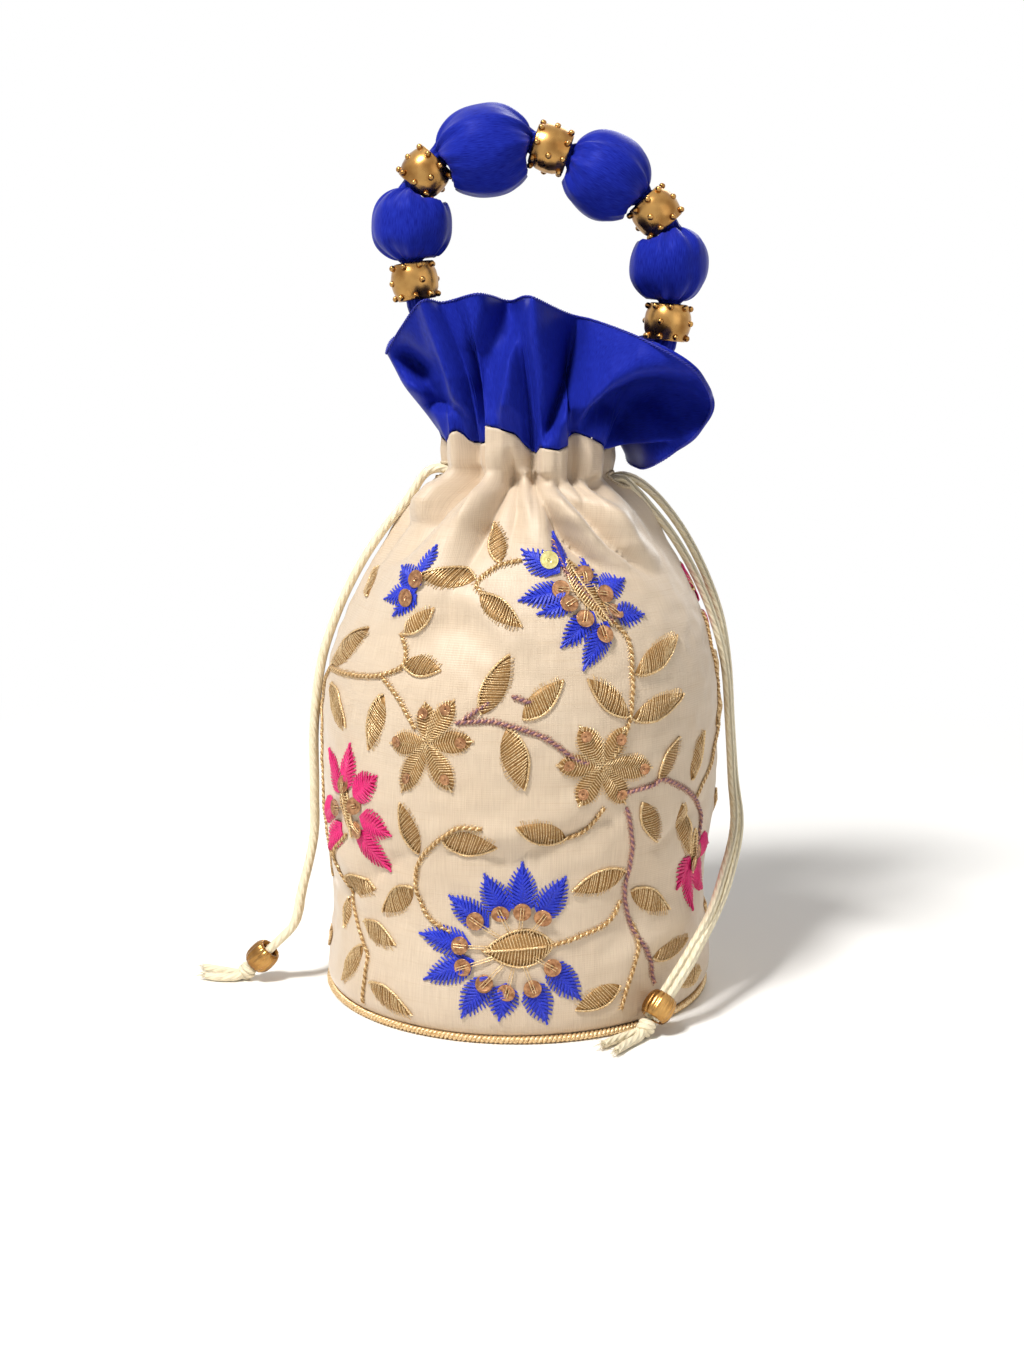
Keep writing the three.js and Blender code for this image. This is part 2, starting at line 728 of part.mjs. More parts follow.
const flowers = {
  blue_flower_upper: [
    { azimuth: 19, height: neckHeight - 35, radius: blueFlowerRadius, petals: 9, notch: 0.6 }, blueThread,
  ],
  blue_flower_lower: [
    { azimuth: 0.3, height: waistHeight - 6.5, radius: blueFlowerRadius, petals: 11, notch: 0.5 }, blueThread,
  ],
  pink_flower_left: [
    { azimuth: -55, height: waistHeight + 34, radius: pinkFlowerRadius, petals: 7, notch: 0.6 }, pinkThread,
  ],
  pink_flower_right: [
    { azimuth: 65, height: waistHeight + 12, radius: pinkSideFlowerRadius, petals: 7, notch: 0.6 }, pinkThread,
  ],
  gold_flower_left: [
    { azimuth: -25.5, height: shoulderHeight + 2, radius: goldFlowerRadius, petals: 6, notch: 0.5 }, zari,
  ],
  gold_flower_right: [
    { azimuth: 22, height: shoulderHeight - 5.5, radius: goldWideFlowerRadius, petals: 6, notch: 0.5 }, zari,
  ],
};
for (const [name, [form, thread]] of Object.entries(flowers)) {
  addPiece(name, makeFlower(form), thread);
}

export default potli;
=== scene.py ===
import math

import bmesh
import bpy
import numpy as np
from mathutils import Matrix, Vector


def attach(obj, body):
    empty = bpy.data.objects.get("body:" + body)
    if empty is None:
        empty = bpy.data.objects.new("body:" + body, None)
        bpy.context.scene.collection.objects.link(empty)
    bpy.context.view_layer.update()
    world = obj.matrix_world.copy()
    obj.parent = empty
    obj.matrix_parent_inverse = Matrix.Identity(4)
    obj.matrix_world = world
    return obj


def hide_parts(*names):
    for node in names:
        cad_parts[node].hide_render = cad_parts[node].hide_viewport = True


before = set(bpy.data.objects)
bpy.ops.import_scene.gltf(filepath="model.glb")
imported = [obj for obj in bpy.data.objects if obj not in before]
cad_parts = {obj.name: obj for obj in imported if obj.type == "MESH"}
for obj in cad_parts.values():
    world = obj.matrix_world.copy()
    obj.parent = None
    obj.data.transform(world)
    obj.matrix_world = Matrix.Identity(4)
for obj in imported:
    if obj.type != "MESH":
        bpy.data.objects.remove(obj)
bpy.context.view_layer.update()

mm = 0.001  # the pieces are worked out in millimetres and written in metres
cordRadius = 1.5
scene = bpy.context.scene


# Small helpers

def linear(hexColour):
    # sRGB hex to the linear colour that the shaders take
    parts = [int(hexColour[i:i + 2], 16) / 255 for i in (1, 3, 5)]
    return [p / 12.92 if p <= 0.04045 else ((p + 0.055) / 1.055) ** 2.4 for p in parts] + [1.0]


def addNode(tree, kind, settings=None, links=None):
    # a key that names an input, or numbers one, sets that input, and any other sets a property
    node = tree.nodes.new(kind)
    names = [socket.name for socket in node.inputs]
    later = {}
    for key, value in (settings or {}).items():
        if isinstance(key, int) or key in names:
            later[key] = value
        else:
            setattr(node, key, value)
    for key, value in later.items():
        node.inputs[key].default_value = value
    for key, socket in (links or {}).items():
        tree.links.new(socket, node.inputs[key])
    return node


def addMath(tree, operation, *values):
    # each value is a number or another node's socket
    node = addNode(tree, "ShaderNodeMath", {"operation": operation})
    for place, value in enumerate(values):
        if isinstance(value, float):
            node.inputs[place].default_value = value
        else:
            tree.links.new(value, node.inputs[place])
    return node.outputs[0]


def newMaterial(name, settings):
    material = bpy.data.materials.new(name)
    material.use_nodes = True
    tree = material.node_tree
    tree.nodes.clear()
    shader = addNode(tree, "ShaderNodeBsdfPrincipled", settings)
    addNode(tree, "ShaderNodeOutputMaterial", links={"Surface": shader.outputs[0]})
    return material, tree, shader


def addPiece(name, points, faces, edges=(), uv=None):
    # points in millimetres; uv has one pair for each point, in metres
    mesh = bpy.data.meshes.new(name)
    places = (np.asarray(points, dtype=float) * mm).tolist()
    mesh.from_pydata(places, list(edges), [list(face) for face in faces])
    if uv is not None:
        layer = mesh.uv_layers.new(name="clothUv")
        corners = np.empty(len(mesh.loops), dtype=np.int32)
        mesh.loops.foreach_get("vertex_index", corners)
        layer.data.foreach_set("uv", np.asarray(uv, dtype=np.float32)[corners].ravel())
    mesh.shade_smooth()
    piece = bpy.data.objects.new(name, mesh)
    scene.collection.objects.link(piece)
    return piece


def gridFaces(rows, columns, wrap=True):
    # quads of a grid of points, wrapped round its columns
    r, c = np.meshgrid(np.arange(rows - 1), np.arange(columns if wrap else columns - 1), indexing="ij")
    after = (c + 1) % columns
    this, above = r * columns, (r + 1) * columns
    return np.stack([this + c, this + after, above + after, above + c], -1).reshape(-1, 4)


def repaint(piece, material):
    piece.data.materials.clear()
    piece.data.materials.append(material)


def finishPiece(piece, material, body, replaced=()):
    repaint(piece, material)
    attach(piece, body)
    if replaced:
        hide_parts(*replaced)
    return piece


def thicken(piece, thickness, offset=-1):
    wall = piece.modifiers.new("clothWall", "SOLIDIFY")
    wall.thickness = thickness * mm
    wall.offset = offset
    wall.use_even_offset = False
    wall.use_rim = True
    return piece


def bake(piece):
    # the evaluated piece as a plain mesh, with its modifiers gone
    bpy.context.view_layer.update()
    evaluated = piece.evaluated_get(bpy.context.evaluated_depsgraph_get())
    made = bpy.data.meshes.new_from_object(evaluated)
    old = piece.data
    piece.modifiers.clear()
    piece.data = made
    bpy.data.meshes.remove(old)
    return piece


def reworkMesh(piece, work, fresh=False):
    # runs one bmesh step on a piece's mesh, or on an empty one in its place
    made = bmesh.new()
    if not fresh:
        made.from_mesh(piece.data)
    work(made)
    made.to_mesh(piece.data)
    made.free()
    return piece


def faceOutwards(piece):
    # closed meshes get their faces turned outwards
    def work(made):
        bmesh.ops.remove_doubles(made, verts=made.verts, dist=1e-7)
        bmesh.ops.recalc_face_normals(made, faces=made.faces)

    reworkMesh(piece, work)
    piece.data.shade_smooth()
    return piece


def makeBall(name, subdivisions, radius, centre=(0, 0, 0)):
    def work(made):
        bmesh.ops.create_icosphere(made, subdivisions=subdivisions, radius=radius * mm)
        bmesh.ops.translate(made, verts=made.verts, vec=Vector(np.asarray(centre) * mm))

    return reworkMesh(addPiece(name, [(0, 0, 0)], []), work, fresh=True)


def ripples(points, seed, count, shortest, longest):
    # smooth noise from a few sine waves, about -1 to 1, wavelengths in millimetres
    rng = np.random.default_rng(seed)
    total = np.zeros(points.shape[:-1])
    for _ in range(count):
        way = rng.normal(size=3)
        way /= np.linalg.norm(way)
        length = rng.uniform(shortest, longest)
        total += np.sin(2 * np.pi * (points @ way) / length + rng.uniform(0, 2 * np.pi))
    return total / math.sqrt(count / 2) / 1.6


def unit(vectors):
    return vectors / np.maximum(np.linalg.norm(vectors, axis=-1, keepdims=True), 1e-9)


def roundSpokes(across, third, count):
    turn = 2 * np.pi * np.arange(count) / count
    return turn, np.cos(turn)[:, None] * across + np.sin(turn)[:, None] * third


def runAlong(path):
    # how far along the path each of its points lies
    return np.concatenate([[0], np.cumsum(np.linalg.norm(np.diff(path, axis=0), axis=1))])


def smoothCurve(a, b, c, d, t):
    # the curve from b to c, which a and d bend
    return 0.5 * (2 * b + (c - a) * t + (2 * a - 5 * b + 4 * c - d) * t ** 2 + (3 * b - a - 3 * c + d) * t ** 3)


# Camera at the photograph's place: a level row of sight lines falls 10.8 degrees

camera = {
    "place": (-1.8, -625, 227),
    "tilt": 79.2,
    "focalPixels": 1800,
    "framePixels": 1365,
    "sensor": 36,
}


def makeCamera():
    data = bpy.data.cameras.new("photoCamera")
    data.sensor_width = camera["sensor"]
    data.lens = camera["focalPixels"] / camera["framePixels"] * camera["sensor"]
    data.clip_start = 0.01
    holder = bpy.data.objects.new("photoCamera", data)
    holder.location = [c * mm for c in camera["place"]]
    holder.rotation_euler = (math.radians(camera["tilt"]), 0, 0)
    scene.collection.objects.link(holder)
    scene.camera = holder
    scene.view_settings.view_transform = "Standard"


makeCamera()
print("camera made")

# Materials, each named for the real stuff and its finish

def addRamp(tree, level, low, high, lowAt=0.0, highAt=1.0):
    ramp = addNode(tree, "ShaderNodeValToRGB", links={"Fac": level})
    for element, colour, place in zip(ramp.color_ramp.elements, (low, high), (lowAt, highAt)):
        element.position = place
        element.color = linear(colour)
    return ramp.outputs[0]


def addBump(tree, shader, height, strength, distance, finer=None):
    # distance in millimetres; finer is the bump that this one lies over
    links = {"Height": height, "Normal": finer} if finer else {"Height": height}
    bump = addNode(tree, "ShaderNodeBump", {"Strength": strength, "Distance": distance * mm}, links).outputs[0]
    tree.links.new(bump, shader.inputs["Normal"])
    return bump


def addNoise(tree, where, scale, detail, roughness=0.5):
    return addNode(tree, "ShaderNodeTexNoise", {"Scale": scale, "Detail": detail, "Roughness": roughness},
                   {"Vector": where}).outputs[0]


def drawnNoise(tree, where, scale, detail, roughness=0.5):
    # noise drawn out one way, as threads are
    drawn = addNode(tree, "ShaderNodeMapping", {"Scale": scale}, {"Vector": where})
    return addNoise(tree, drawn.outputs[0], 1.0, detail, roughness)


def multiplied(tree, share, first, second):
    return addNode(tree, "ShaderNodeMix", {"data_type": "RGBA", "blend_type": "MULTIPLY", 0: share},
                   {6: first, 7: second}).outputs[2]


def wovenBump(tree, shader, where, warp, weft, height):
    # warp and weft threads at their own spacing, in millimetres, drawn as two wave patterns
    waves = [addNode(tree, "ShaderNodeTexWave", {
        "bands_direction": direction, "Scale": 0.314 / (spacing * mm) / 2, "Distortion": 0.6, "Detail": 1.0,
        "Detail Scale": 2.0,
    }, {"Vector": where}).outputs[1] for direction, spacing in (("X", warp), ("Y", weft))]
    addBump(tree, shader, addMath(tree, "ADD", *waves), 0.5, height)


def makeDupionSilk():
    # hand-woven dupion: a crisp ivory silk whose uneven weft leaves slubs, with a soft dry lustre
    silk, tree, shader = newMaterial("ivoryDupionSilk", {
        "Roughness": 0.5, "Sheen Weight": 0.35, "Sheen Roughness": 0.4})
    where = addNode(tree, "ShaderNodeTexCoord").outputs["UV"]
    wovenBump(tree, shader, where, warp=0.3, weft=0.36, height=0.05)
    threads = addRamp(tree, drawnNoise(tree, where, (2900, 90, 1), 3.0, 0.6), "#ccb9a2", "#dac9b2", 0.3, 0.68)
    slubs = addRamp(tree, drawnNoise(tree, where, (34, 1500, 1), 2.0), "#ffffff", "#eee3d2", 0.55, 0.75)
    patches = addRamp(tree, addNoise(tree, where, 26.0, 2.0), "#efe4d6", "#ffffff")
    colour = multiplied(tree, 0.8, multiplied(tree, 0.3, threads, slubs), patches)
    tree.links.new(colour, shader.inputs["Base Color"])
    return silk


def makeSatin(name, deep, bright, roughness, grain=0.3, ridges=0):
    # satin weave: long floats give a smooth face with a broad soft gloss
    satin, tree, shader = newMaterial(name, {
        "Roughness": roughness, "Sheen Weight": 0.2, "Sheen Roughness": 0.4, "Sheen Tint": linear(bright),
        "Specular IOR Level": 0.2, "Specular Tint": linear(bright)})
    where = addNode(tree, "ShaderNodeTexCoord").outputs["UV"]
    floats = drawnNoise(tree, where, (1 / (grain * mm), 0.07 / (grain * mm), 1), 2.0)
    tree.links.new(addRamp(tree, floats, deep, bright, 0.3, 0.7), shader.inputs["Base Color"])
    fine = addBump(tree, shader, floats, 0.2, 0.03)
    if ridges:  # the plies of a cord, which wind round it
        plies = addNode(tree, "ShaderNodeTexWave", {
            "bands_direction": "X", "Scale": ridges / (20 * cordRadius * mm)}, {"Vector": where})
        addBump(tree, shader, plies.outputs[1], 0.8, 0.3, fine)
    return satin


def makeThread(name, deep, bright, roughness, metallic=0.0, grain=0.5):
    # spun thread: strands of slightly differing tone, the metal ones with a bright glint
    thread, tree, shader = newMaterial(name, {"Roughness": roughness, "Metallic": metallic})
    where = addNode(tree, "ShaderNodeTexCoord").outputs["Object"]
    mottle = addNoise(tree, where, 1 / (grain * mm), 2.0)
    tree.links.new(addRamp(tree, mottle, deep, bright, 0.3, 0.7), shader.inputs["Base Color"])
    addBump(tree, shader, mottle, 0.3, 0.05)
    return thread


def makeAntiqueGold():
    # thin gold plate on cast brass, its tone mottled at random between bright gold and brown
    gold, tree, shader = newMaterial("antiqueGoldPlate", {"Metallic": 1.0, "Roughness": 0.3})
    where = addNode(tree, "ShaderNodeTexCoord").outputs["Object"]
    mottle = addNoise(tree, where, 150.0, 2.0, 0.45)
    dull = addNode(tree, "ShaderNodeMapRange", {"To Min": 0.2, "To Max": 0.34}, {"Value": mottle})
    tree.links.new(addRamp(tree, mottle, "#8f6434", "#bd9154", 0.32, 0.62), shader.inputs["Base Color"])
    tree.links.new(dull.outputs[0], shader.inputs["Roughness"])
    addBump(tree, shader, mottle, 0.15, 0.3)
    return gold


dupionSilk = makeDupionSilk()
royalSatin = makeSatin("royalBlueSatin", "#131a78", "#2230a0", 0.4, grain=0.2)
liningTaffeta = makeSatin("navyLiningTaffeta", "#141a66", "#1f2a8c", 0.6)
creamSatinCord = makeSatin("creamSatinCord", "#e4d5b2", "#f6ebd0", 0.38, grain=0.5, ridges=5)
blueThread = makeThread("blueRayonThread", "#1220a0", "#2a40dc", 0.42)
pinkThread = makeThread("pinkRayonThread", "#c4105c", "#ec2a80", 0.42)
zariThread = makeThread("goldZariThread", "#b98d52", "#f4dcae", 0.36, metallic=0.55)
zariGround = makeThread("dullZariGround", "#86602f", "#b38a52", 0.5, metallic=0.3, grain=0.4)
mauveThread = makeThread("mauveRayonThread", "#5c3a48", "#8a6070", 0.5)
roseZari = makeThread("roseGoldZari", "#8e5a4c", "#d0a088", 0.42, metallic=0.4)
antiqueGold = makeAntiqueGold()
sequinGold = makeThread("copperSequinFoil", "#84583a", "#c6946a", 0.24, metallic=0.85, grain=1.2)
paleSequin = makeThread("paleGoldSequinFoil", "#d8c878", "#f2e6a4", 0.2, metallic=0.8, grain=1.2)
hemThread = makeThread("frillHemThread", "#10177c", "#1f2aa2", 0.6)
stuffingFibre = makeThread("polyesterStuffing", "#ddd8cc", "#f4f0e6", 0.9)
creamFibre = makeThread("creamCordFibre", "#e4d5b2", "#f6ebd0", 0.6)
ivoryThread = makeThread("ivoryCottonThread", "#c4b08f", "#e2d2b6", 0.7)
greyBoard = makeThread("unglazedGreyBoard", "#80725c", "#988a70", 0.85)
print("materials made")


# Form of the bag, the same curves as the frame's

bag = {
    "bagRadius": 69.0,
    "shoulderHeight": 98.0,
    "shoulderFullness": 2.1,
    "neckHeight": 181.0,
    "neckRadius": 25.5,
    "neckLean": 4.0,
    "footRadius": 8.0,
    "footStart": 1.35,
    "waistHeight": 38.0,
    "waistSpread": 35.0,
    "waistDip": 2.5,
    "clothThickness": 0.9,
    "crests": [-60, -20, 15, 46, 90, 122, 158, 193, 230, 270],
    "gatherDepth": 4.3,
    "gatherFade": 22.0,
    "gatherPower": 1.3,
    "creaseShare": 0.75,    # how far the gathers' valleys draw in to sharp creases
    "creasePower": 0.8,
    "creaseFade": 30,
    "headerHeight": 9.0,
    "headerWander": 4.0,
    "drapeDepth": 2.1,      # how deep the soft folds under the neck run
    "drapeFade": 44.0,
    "driftTurn": 9,         # how far they wander as they run down, in degrees
    "driftLength": 15,
    "driftFade": 12,
    "puffDepth": 2.6,       # the cloth swells just under the casing
    "puffDrop": 10.0,
    "puffHeight": 6.5,
    "casingPinch": 0.8,     # and is drawn in along the cords
    "casingWidth": 4.2,
    "pleatDepth": 0.55,     # small tucks between the gathers
    "pleatFade": 13.0,
    "slackDepth": 0.9,      # soft waves over the whole body
    "slackWaves": (5, 9, 46, 110),  # seed, number, shortest and longest, as all the waves below
    "slackFade": 60,
    "puckerDepth": 0.2,     # puckering of the cloth between the stitches
    "puckerWaves": (8, 14, 5, 13),
    "footFade": 14,
    "foldGain": 2.9,
    "foldSpread": 1.25,
    "sagGain": 2.0,
    "headerGain": 1.7,
    "casingLeast": 20.4,    # no fold goes in further than this where the cords lie in the casing
    "casingReach": 9,
    "casingEase": 0.5,
    "frontReach": 88,       # degrees either side of the front where the folds listed here take over
    "frontFade": 22,
    "headerFade": 12.0,
    "header": [  # azimuth, how far out the flat pleats above the casing stand
        (-95, 0), (-80, 0.5), (-70, 2.6), (-60, 3.2), (-55, 2.6), (-53.3, -2.6), (-50, -2.2), (-42, -1),
        (-36, -1.6), (-32.2, -3.4), (-30.8, 3), (-24, 3.4), (-16, 2.6), (-8, 0.6), (0, -1.6), (4.4, -4.2),
        (5.8, 2.6), (14, 3.4), (24, 2.6), (30, 0), (32.4, -3.4), (34, 1.6), (42, 3.2), (52, 3.4), (60, 2.2),
        (68, 0), (78, -1.5), (95, 0),
    ],
    "seam": [  # azimuth, height of the header over the neck line
        (-95, 8), (-75, 8.5), (-68, 12), (-56, 15.8), (-53, 11.6), (-44, 11.3), (-33, 12.5), (-30, 18),
        (-21, 17.2), (-10, 15), (-3, 11), (5, 8.4), (7, 10.8), (18, 9.8), (28, 11.3), (34.5, 15.2), (49, 11.8),
        (60, 8.6), (70, 8), (95, 9),
    ],
    "folds": [  # kind, then height, azimuth, width and how far out it stands
        ("crease", [(150, -68, 4, 0), (155, -59, 4, -1), (163, -52, 3.5, -1.8), (169, -48, 3, -2.6),
                    (177, -47, 2.6, -3.4), (182, -49, 2.2, -2), (185, -51, 2, 0)]),
        ("roll", [(166, -66, 8, 0), (174, -63, 8, 2), (179, -62, 6, 2.4), (184, -62, 5, 0)]),
        ("roll", [(132, -46, 14, 0), (147, -42, 12, 1.6), (156, -37, 10, 2.4), (164, -35, 8, 2.8),
                    (171, -31, 6, 3),
                  (178, -28, 5, 2.6), (184, -26, 4, 0)]),
        ("crease", [(140, -27, 5, 0), (150, -24, 4.5, -1.2), (158, -22, 4, -2.2), (165, -20, 3.2, -3.2),
                    (170, -19, 2.8, -3.6), (175, -17, 2.3, -3.8), (180, -15, 1.8, -3.4),
                    (186, -13.5, 1.6, -1.6), (192, -14, 1.5, 0)]),
        ("crease", [(156, -8, 4, 0), (165, -7, 3.5, -1), (171, -6, 3, -1.6), (179, -9, 2, -1.8),
                    (184, -10, 2, 0)]),
        ("roll", [(150, 8, 7, 0), (160, 6, 5, 1), (167, 4, 4, 2), (175, 1, 3.2, 2.6), (181, -1, 2.6, 1.4),
                    (185, -1, 2.6, 0)]),
        ("crease", [(150, 36, 4, 0), (154, 29, 3.2, -1.6), (159, 21, 2.8, -2.6), (164, 15, 2.4, -3),
                    (171, 10.5, 2.1, -3.4), (177, 6.5, 1.9, -3.6), (183, 4.5, 1.6, -2)]),
        ("roll", [(152, 42, 6, 0), (160, 32, 5, 1.6), (165, 27, 4.5, 2.4), (171, 20, 4, 3), (176, 14, 3.2, 3),
                    (179, 13, 2.6, 0.6)]),
        ("crease", [(149, 54, 4, 0), (154, 47, 3.4, -1.4), (160, 38, 3, -2.4), (166, 32, 2.6, -3),
                    (172, 26, 2.2, -3.2), (177, 20, 2, -2.4), (181, 18, 2, 0)]),
        ("roll", [(150, 58, 8, 0), (161, 47, 6, 2), (168, 42, 5, 2.6), (175, 36, 4, 2.8), (181, 33, 3, 0)]),
        ("roll", [(172, 50, 4, 0), (175, 47, 4, -2), (178, 45, 3.5, -2.4), (182, 46, 3, 0)]),
    ],
    "sags": [  # kind, then azimuth, height, width and how far out it stands
        ("roll", [(-36, 128, 9, 0), (-26, 136, 9, -1.7), (-18, 136, 9, -1.7), (-6, 132, 9, 0)]),
        ("roll", [(-40, 152, 6, 0), (-26, 148, 6, 1.4), (-14, 144, 6, 1.4), (-2, 132, 6, 0.8), (6, 122, 7, 0)]),
        ("crease", [(-24, 64, 3.5, 0), (-15, 65, 3.5, -0.9), (-2, 61, 4, -1.1), (7, 68, 4, -1.2),
                    (20, 73, 4, -1.1), (32, 79, 4, 0)]),
        ("roll", [(-24, 70, 6, 0), (-8, 70, 6, 0.8), (14, 77, 6, 0.9), (28, 84, 6, 0)]),
        ("crease", [(-74, 34, 4, 0), (-62, 40, 4, -1), (-44, 53, 4, -1.2), (-31, 62, 4, -0.8),
                    (-22, 66, 4, 0)]),
        ("roll", [(24, 22, 7, 0), (38, 30, 7, 1), (54, 33, 7, 1.2), (70, 30, 7, 0)]),
        ("crease", [(34, 60, 4, 0), (44, 64, 4, -0.9), (56, 70, 4, -1), (70, 72, 4, 0)]),
        ("roll", [(-78, 60, 9, 0), (-66, 56, 9, 1.2), (-54, 48, 9, 1), (-40, 40, 9, 0)]),
    ],
}


def foldPush(across, along, scale, folds, gain, spread=1.0):
    # summed heights of folds, each a line along which its middle, width and height change
    total = np.zeros(np.broadcast(across, along).shape)
    for kind, rows in folds:
        at, middle, width, height = np.array(rows, float).T
        wide = np.interp(along, at, width)
        off = (across - np.interp(along, at, middle)) * scale * np.sign(wide)
        wide = np.abs(wide) * spread
        if kind == "edge":
            shape = (0.5 + 0.5 * np.tanh(off / 0.9)) * np.exp(-(np.maximum(off, 0) / wide) ** 2)
        else:
            shape = np.exp(-np.abs(off / wide) ** (1.15 if kind == "crease" else 2))
        total = total + np.interp(along, at, height, left=0, right=0) * shape
    return total * gain


def turned(azimuth):
    return (np.asarray(azimuth, float) + 180) % 360 - 180


def frontShare(azimuth):
    share = np.clip((bag["frontReach"] - np.abs(turned(azimuth))) / bag["frontFade"], 0, 1)
    return share ** 2 * (3 - 2 * share)


def roundRadius(z):
    drawn = np.clip((z - bag["shoulderHeight"]) / (bag["neckHeight"] - bag["shoulderHeight"]), 0, 1)
    radius = bag["bagRadius"] - (bag["bagRadius"] - bag["neckRadius"]) * drawn ** bag["shoulderFullness"]
    fromWaist = np.clip(np.abs(z - bag["waistHeight"]) / bag["waistSpread"], 0, 1)
    radius = radius - bag["waistDip"] * np.cos(fromWaist * np.pi / 2) ** 2
    down = np.clip((bag["footRadius"] - z) / bag["footRadius"], 0, 1)
    return radius - bag["footRadius"] * (1 - np.sqrt(1 - down ** 2))


def leanAt(z):
    return bag["neckLean"] * (np.clip(z, 0, bag["neckHeight"]) / bag["neckHeight"]) ** 2


def gatherPhase(azimuth):
    # which gather an azimuth is in, and how far through it
    crests = np.array(bag["crests"] + [bag["crests"][0] + 360], dtype=float)
    place = (azimuth - crests[0]) % 360 + crests[0]
    gather = np.clip(np.searchsorted(crests, place, side="right") - 1, 0, len(crests) - 2)
    return gather, (place - crests[gather]) / (crests[gather + 1] - crests[gather])


def waveAt(azimuth):
    return np.cos(2 * np.pi * gatherPhase(azimuth)[1])


def placeAt(azimuth, radius, z):
    turn = np.radians(azimuth)
    return np.stack([leanAt(z) + radius * np.sin(turn), -radius * np.cos(turn), z + 0 * turn], -1)


def headerPush(azimuth):
    # the flat pleats above the casing, smoothed over a few degrees
    table = np.array(bag["header"], float).T
    return bag["headerGain"] * sum(share * np.interp(turned(azimuth) + aside, *table)
                                   for aside, share in ((-2.4, 0.2), (-1, 0.3), (1, 0.3), (2.4, 0.2)))


def clothPoint(azimuth, z):
    # the side cloth's outer face with its gathers, folds and soft waves
    azimuth, z = np.broadcast_arrays(np.asarray(azimuth, float), np.asarray(z, float))
    overNeck = z - bag["neckHeight"]
    below = np.maximum(bag["neckHeight"] - z, 0)
    wave = waveAt(azimuth)
    rolled = 2 * np.abs(np.cos(np.pi * gatherPhase(azimuth)[1])) ** bag["creasePower"] - 1
    wave = wave + bag["creaseShare"] * (rolled - wave) * np.exp(-(below / bag["creaseFade"]) ** 2)
    depth = bag["gatherDepth"] * np.exp(-(below / bag["gatherFade"]) ** bag["gatherPower"])
    smooth = placeAt(azimuth, roundRadius(z), z)
    turn = np.radians(azimuth)
    front = frontShare(azimuth)
    drift = bag["driftTurn"] * np.sin(z / bag["driftLength"] + 3 * turn)
    drift = drift * np.clip(below / bag["driftFade"], 0, 1)
    drape = 1.6 * np.abs(np.cos(np.pi * gatherPhase(azimuth + drift)[1])) ** 0.9 - 1
    regular = depth * wave + bag["drapeDepth"] * drape * np.exp(-(below / bag["drapeFade"]) ** 2) * (below > 0)
    header = headerPush(azimuth) * np.exp(-(below / bag["headerFade"]) ** 2)
    placed = header + foldPush(
        turned(azimuth), z, np.radians(roundRadius(z)), bag["folds"], bag["foldGain"], bag["foldSpread"])
    placed = placed + foldPush(z, turned(azimuth), 1.0, bag["sags"], bag["sagGain"])
    radius = roundRadius(z) + regular + (placed - regular) * front
    pleats = np.sin(31 * turn + 2.2 * np.sin(5 * turn + 1)) + 0.6 * np.sin(53 * turn + 1.7 * np.sin(3 * turn))
    pleats = bag["pleatDepth"] * pleats * (1 - 0.75 * front)
    radius = radius + pleats * np.exp(-(below / bag["pleatFade"]) ** 1.2)
    swell = np.exp(-((overNeck + bag["puffDrop"]) / bag["puffHeight"]) ** 2)
    swell = swell * (0.4 + 0.3 * front + 0.6 * wave * (1 - front))
    pinch = np.exp(-(overNeck / bag["casingWidth"]) ** 2)
    radius = radius + bag["puffDepth"] * swell - bag["casingPinch"] * pinch
    least = bag["casingLeast"] * np.exp(-(overNeck / bag["casingReach"]) ** 4)
    radius = least + bag["casingEase"] * np.logaddexp(0, (radius - least) / bag["casingEase"])
    slack = ripples(smooth, *bag["slackWaves"]) * np.clip((bag["neckHeight"] - z) / bag["slackFade"], 0, 1)
    waves = bag["slackDepth"] * slack + bag["puckerDepth"] * ripples(smooth, *bag["puckerWaves"])
    return placeAt(azimuth, radius + np.clip(z / bag["footFade"], 0, 1) * waves, z)


def onCloth(azimuth, z, lift=0.0):
    # a place on the cloth, lifted along its normal, and that normal
    azimuth, z = np.broadcast_arrays(np.asarray(azimuth, float), np.asarray(z, float))
    step = 0.4
    roundWay = clothPoint(azimuth + step, z) - clothPoint(azimuth - step, z)
    upWay = clothPoint(azimuth, z + step) - clothPoint(azimuth, z - step)
    normal = unit(np.cross(roundWay, upWay))
    return clothPoint(azimuth, z) + normal * np.asarray(lift)[..., None], normal


def seamHeight(azimuth):
    regular = bag["headerHeight"] + bag["headerWander"] * waveAt(azimuth)
    placed = np.interp(turned(azimuth), *np.array(bag["seam"], float).T)
    return bag["neckHeight"] + regular + (placed - regular) * frontShare(azimuth)


# Side cloth of the body

sideCloth = {
    "columns": 264,
    "rows": 140,
    "slotHalfAngle": 8.0,
    "slotHalfHeight": 2.2,
    "cut": (436, 216),
}
cordHeights = {-1: 182.7, 1: 179.3}  # where the left and right cords leave the casing


def frontward(count):
    # azimuths all round, closer together at the front
    even = -180 + 360 * np.arange(count) / count
    return even - 0.45 * np.degrees(np.sin(np.radians(even)))


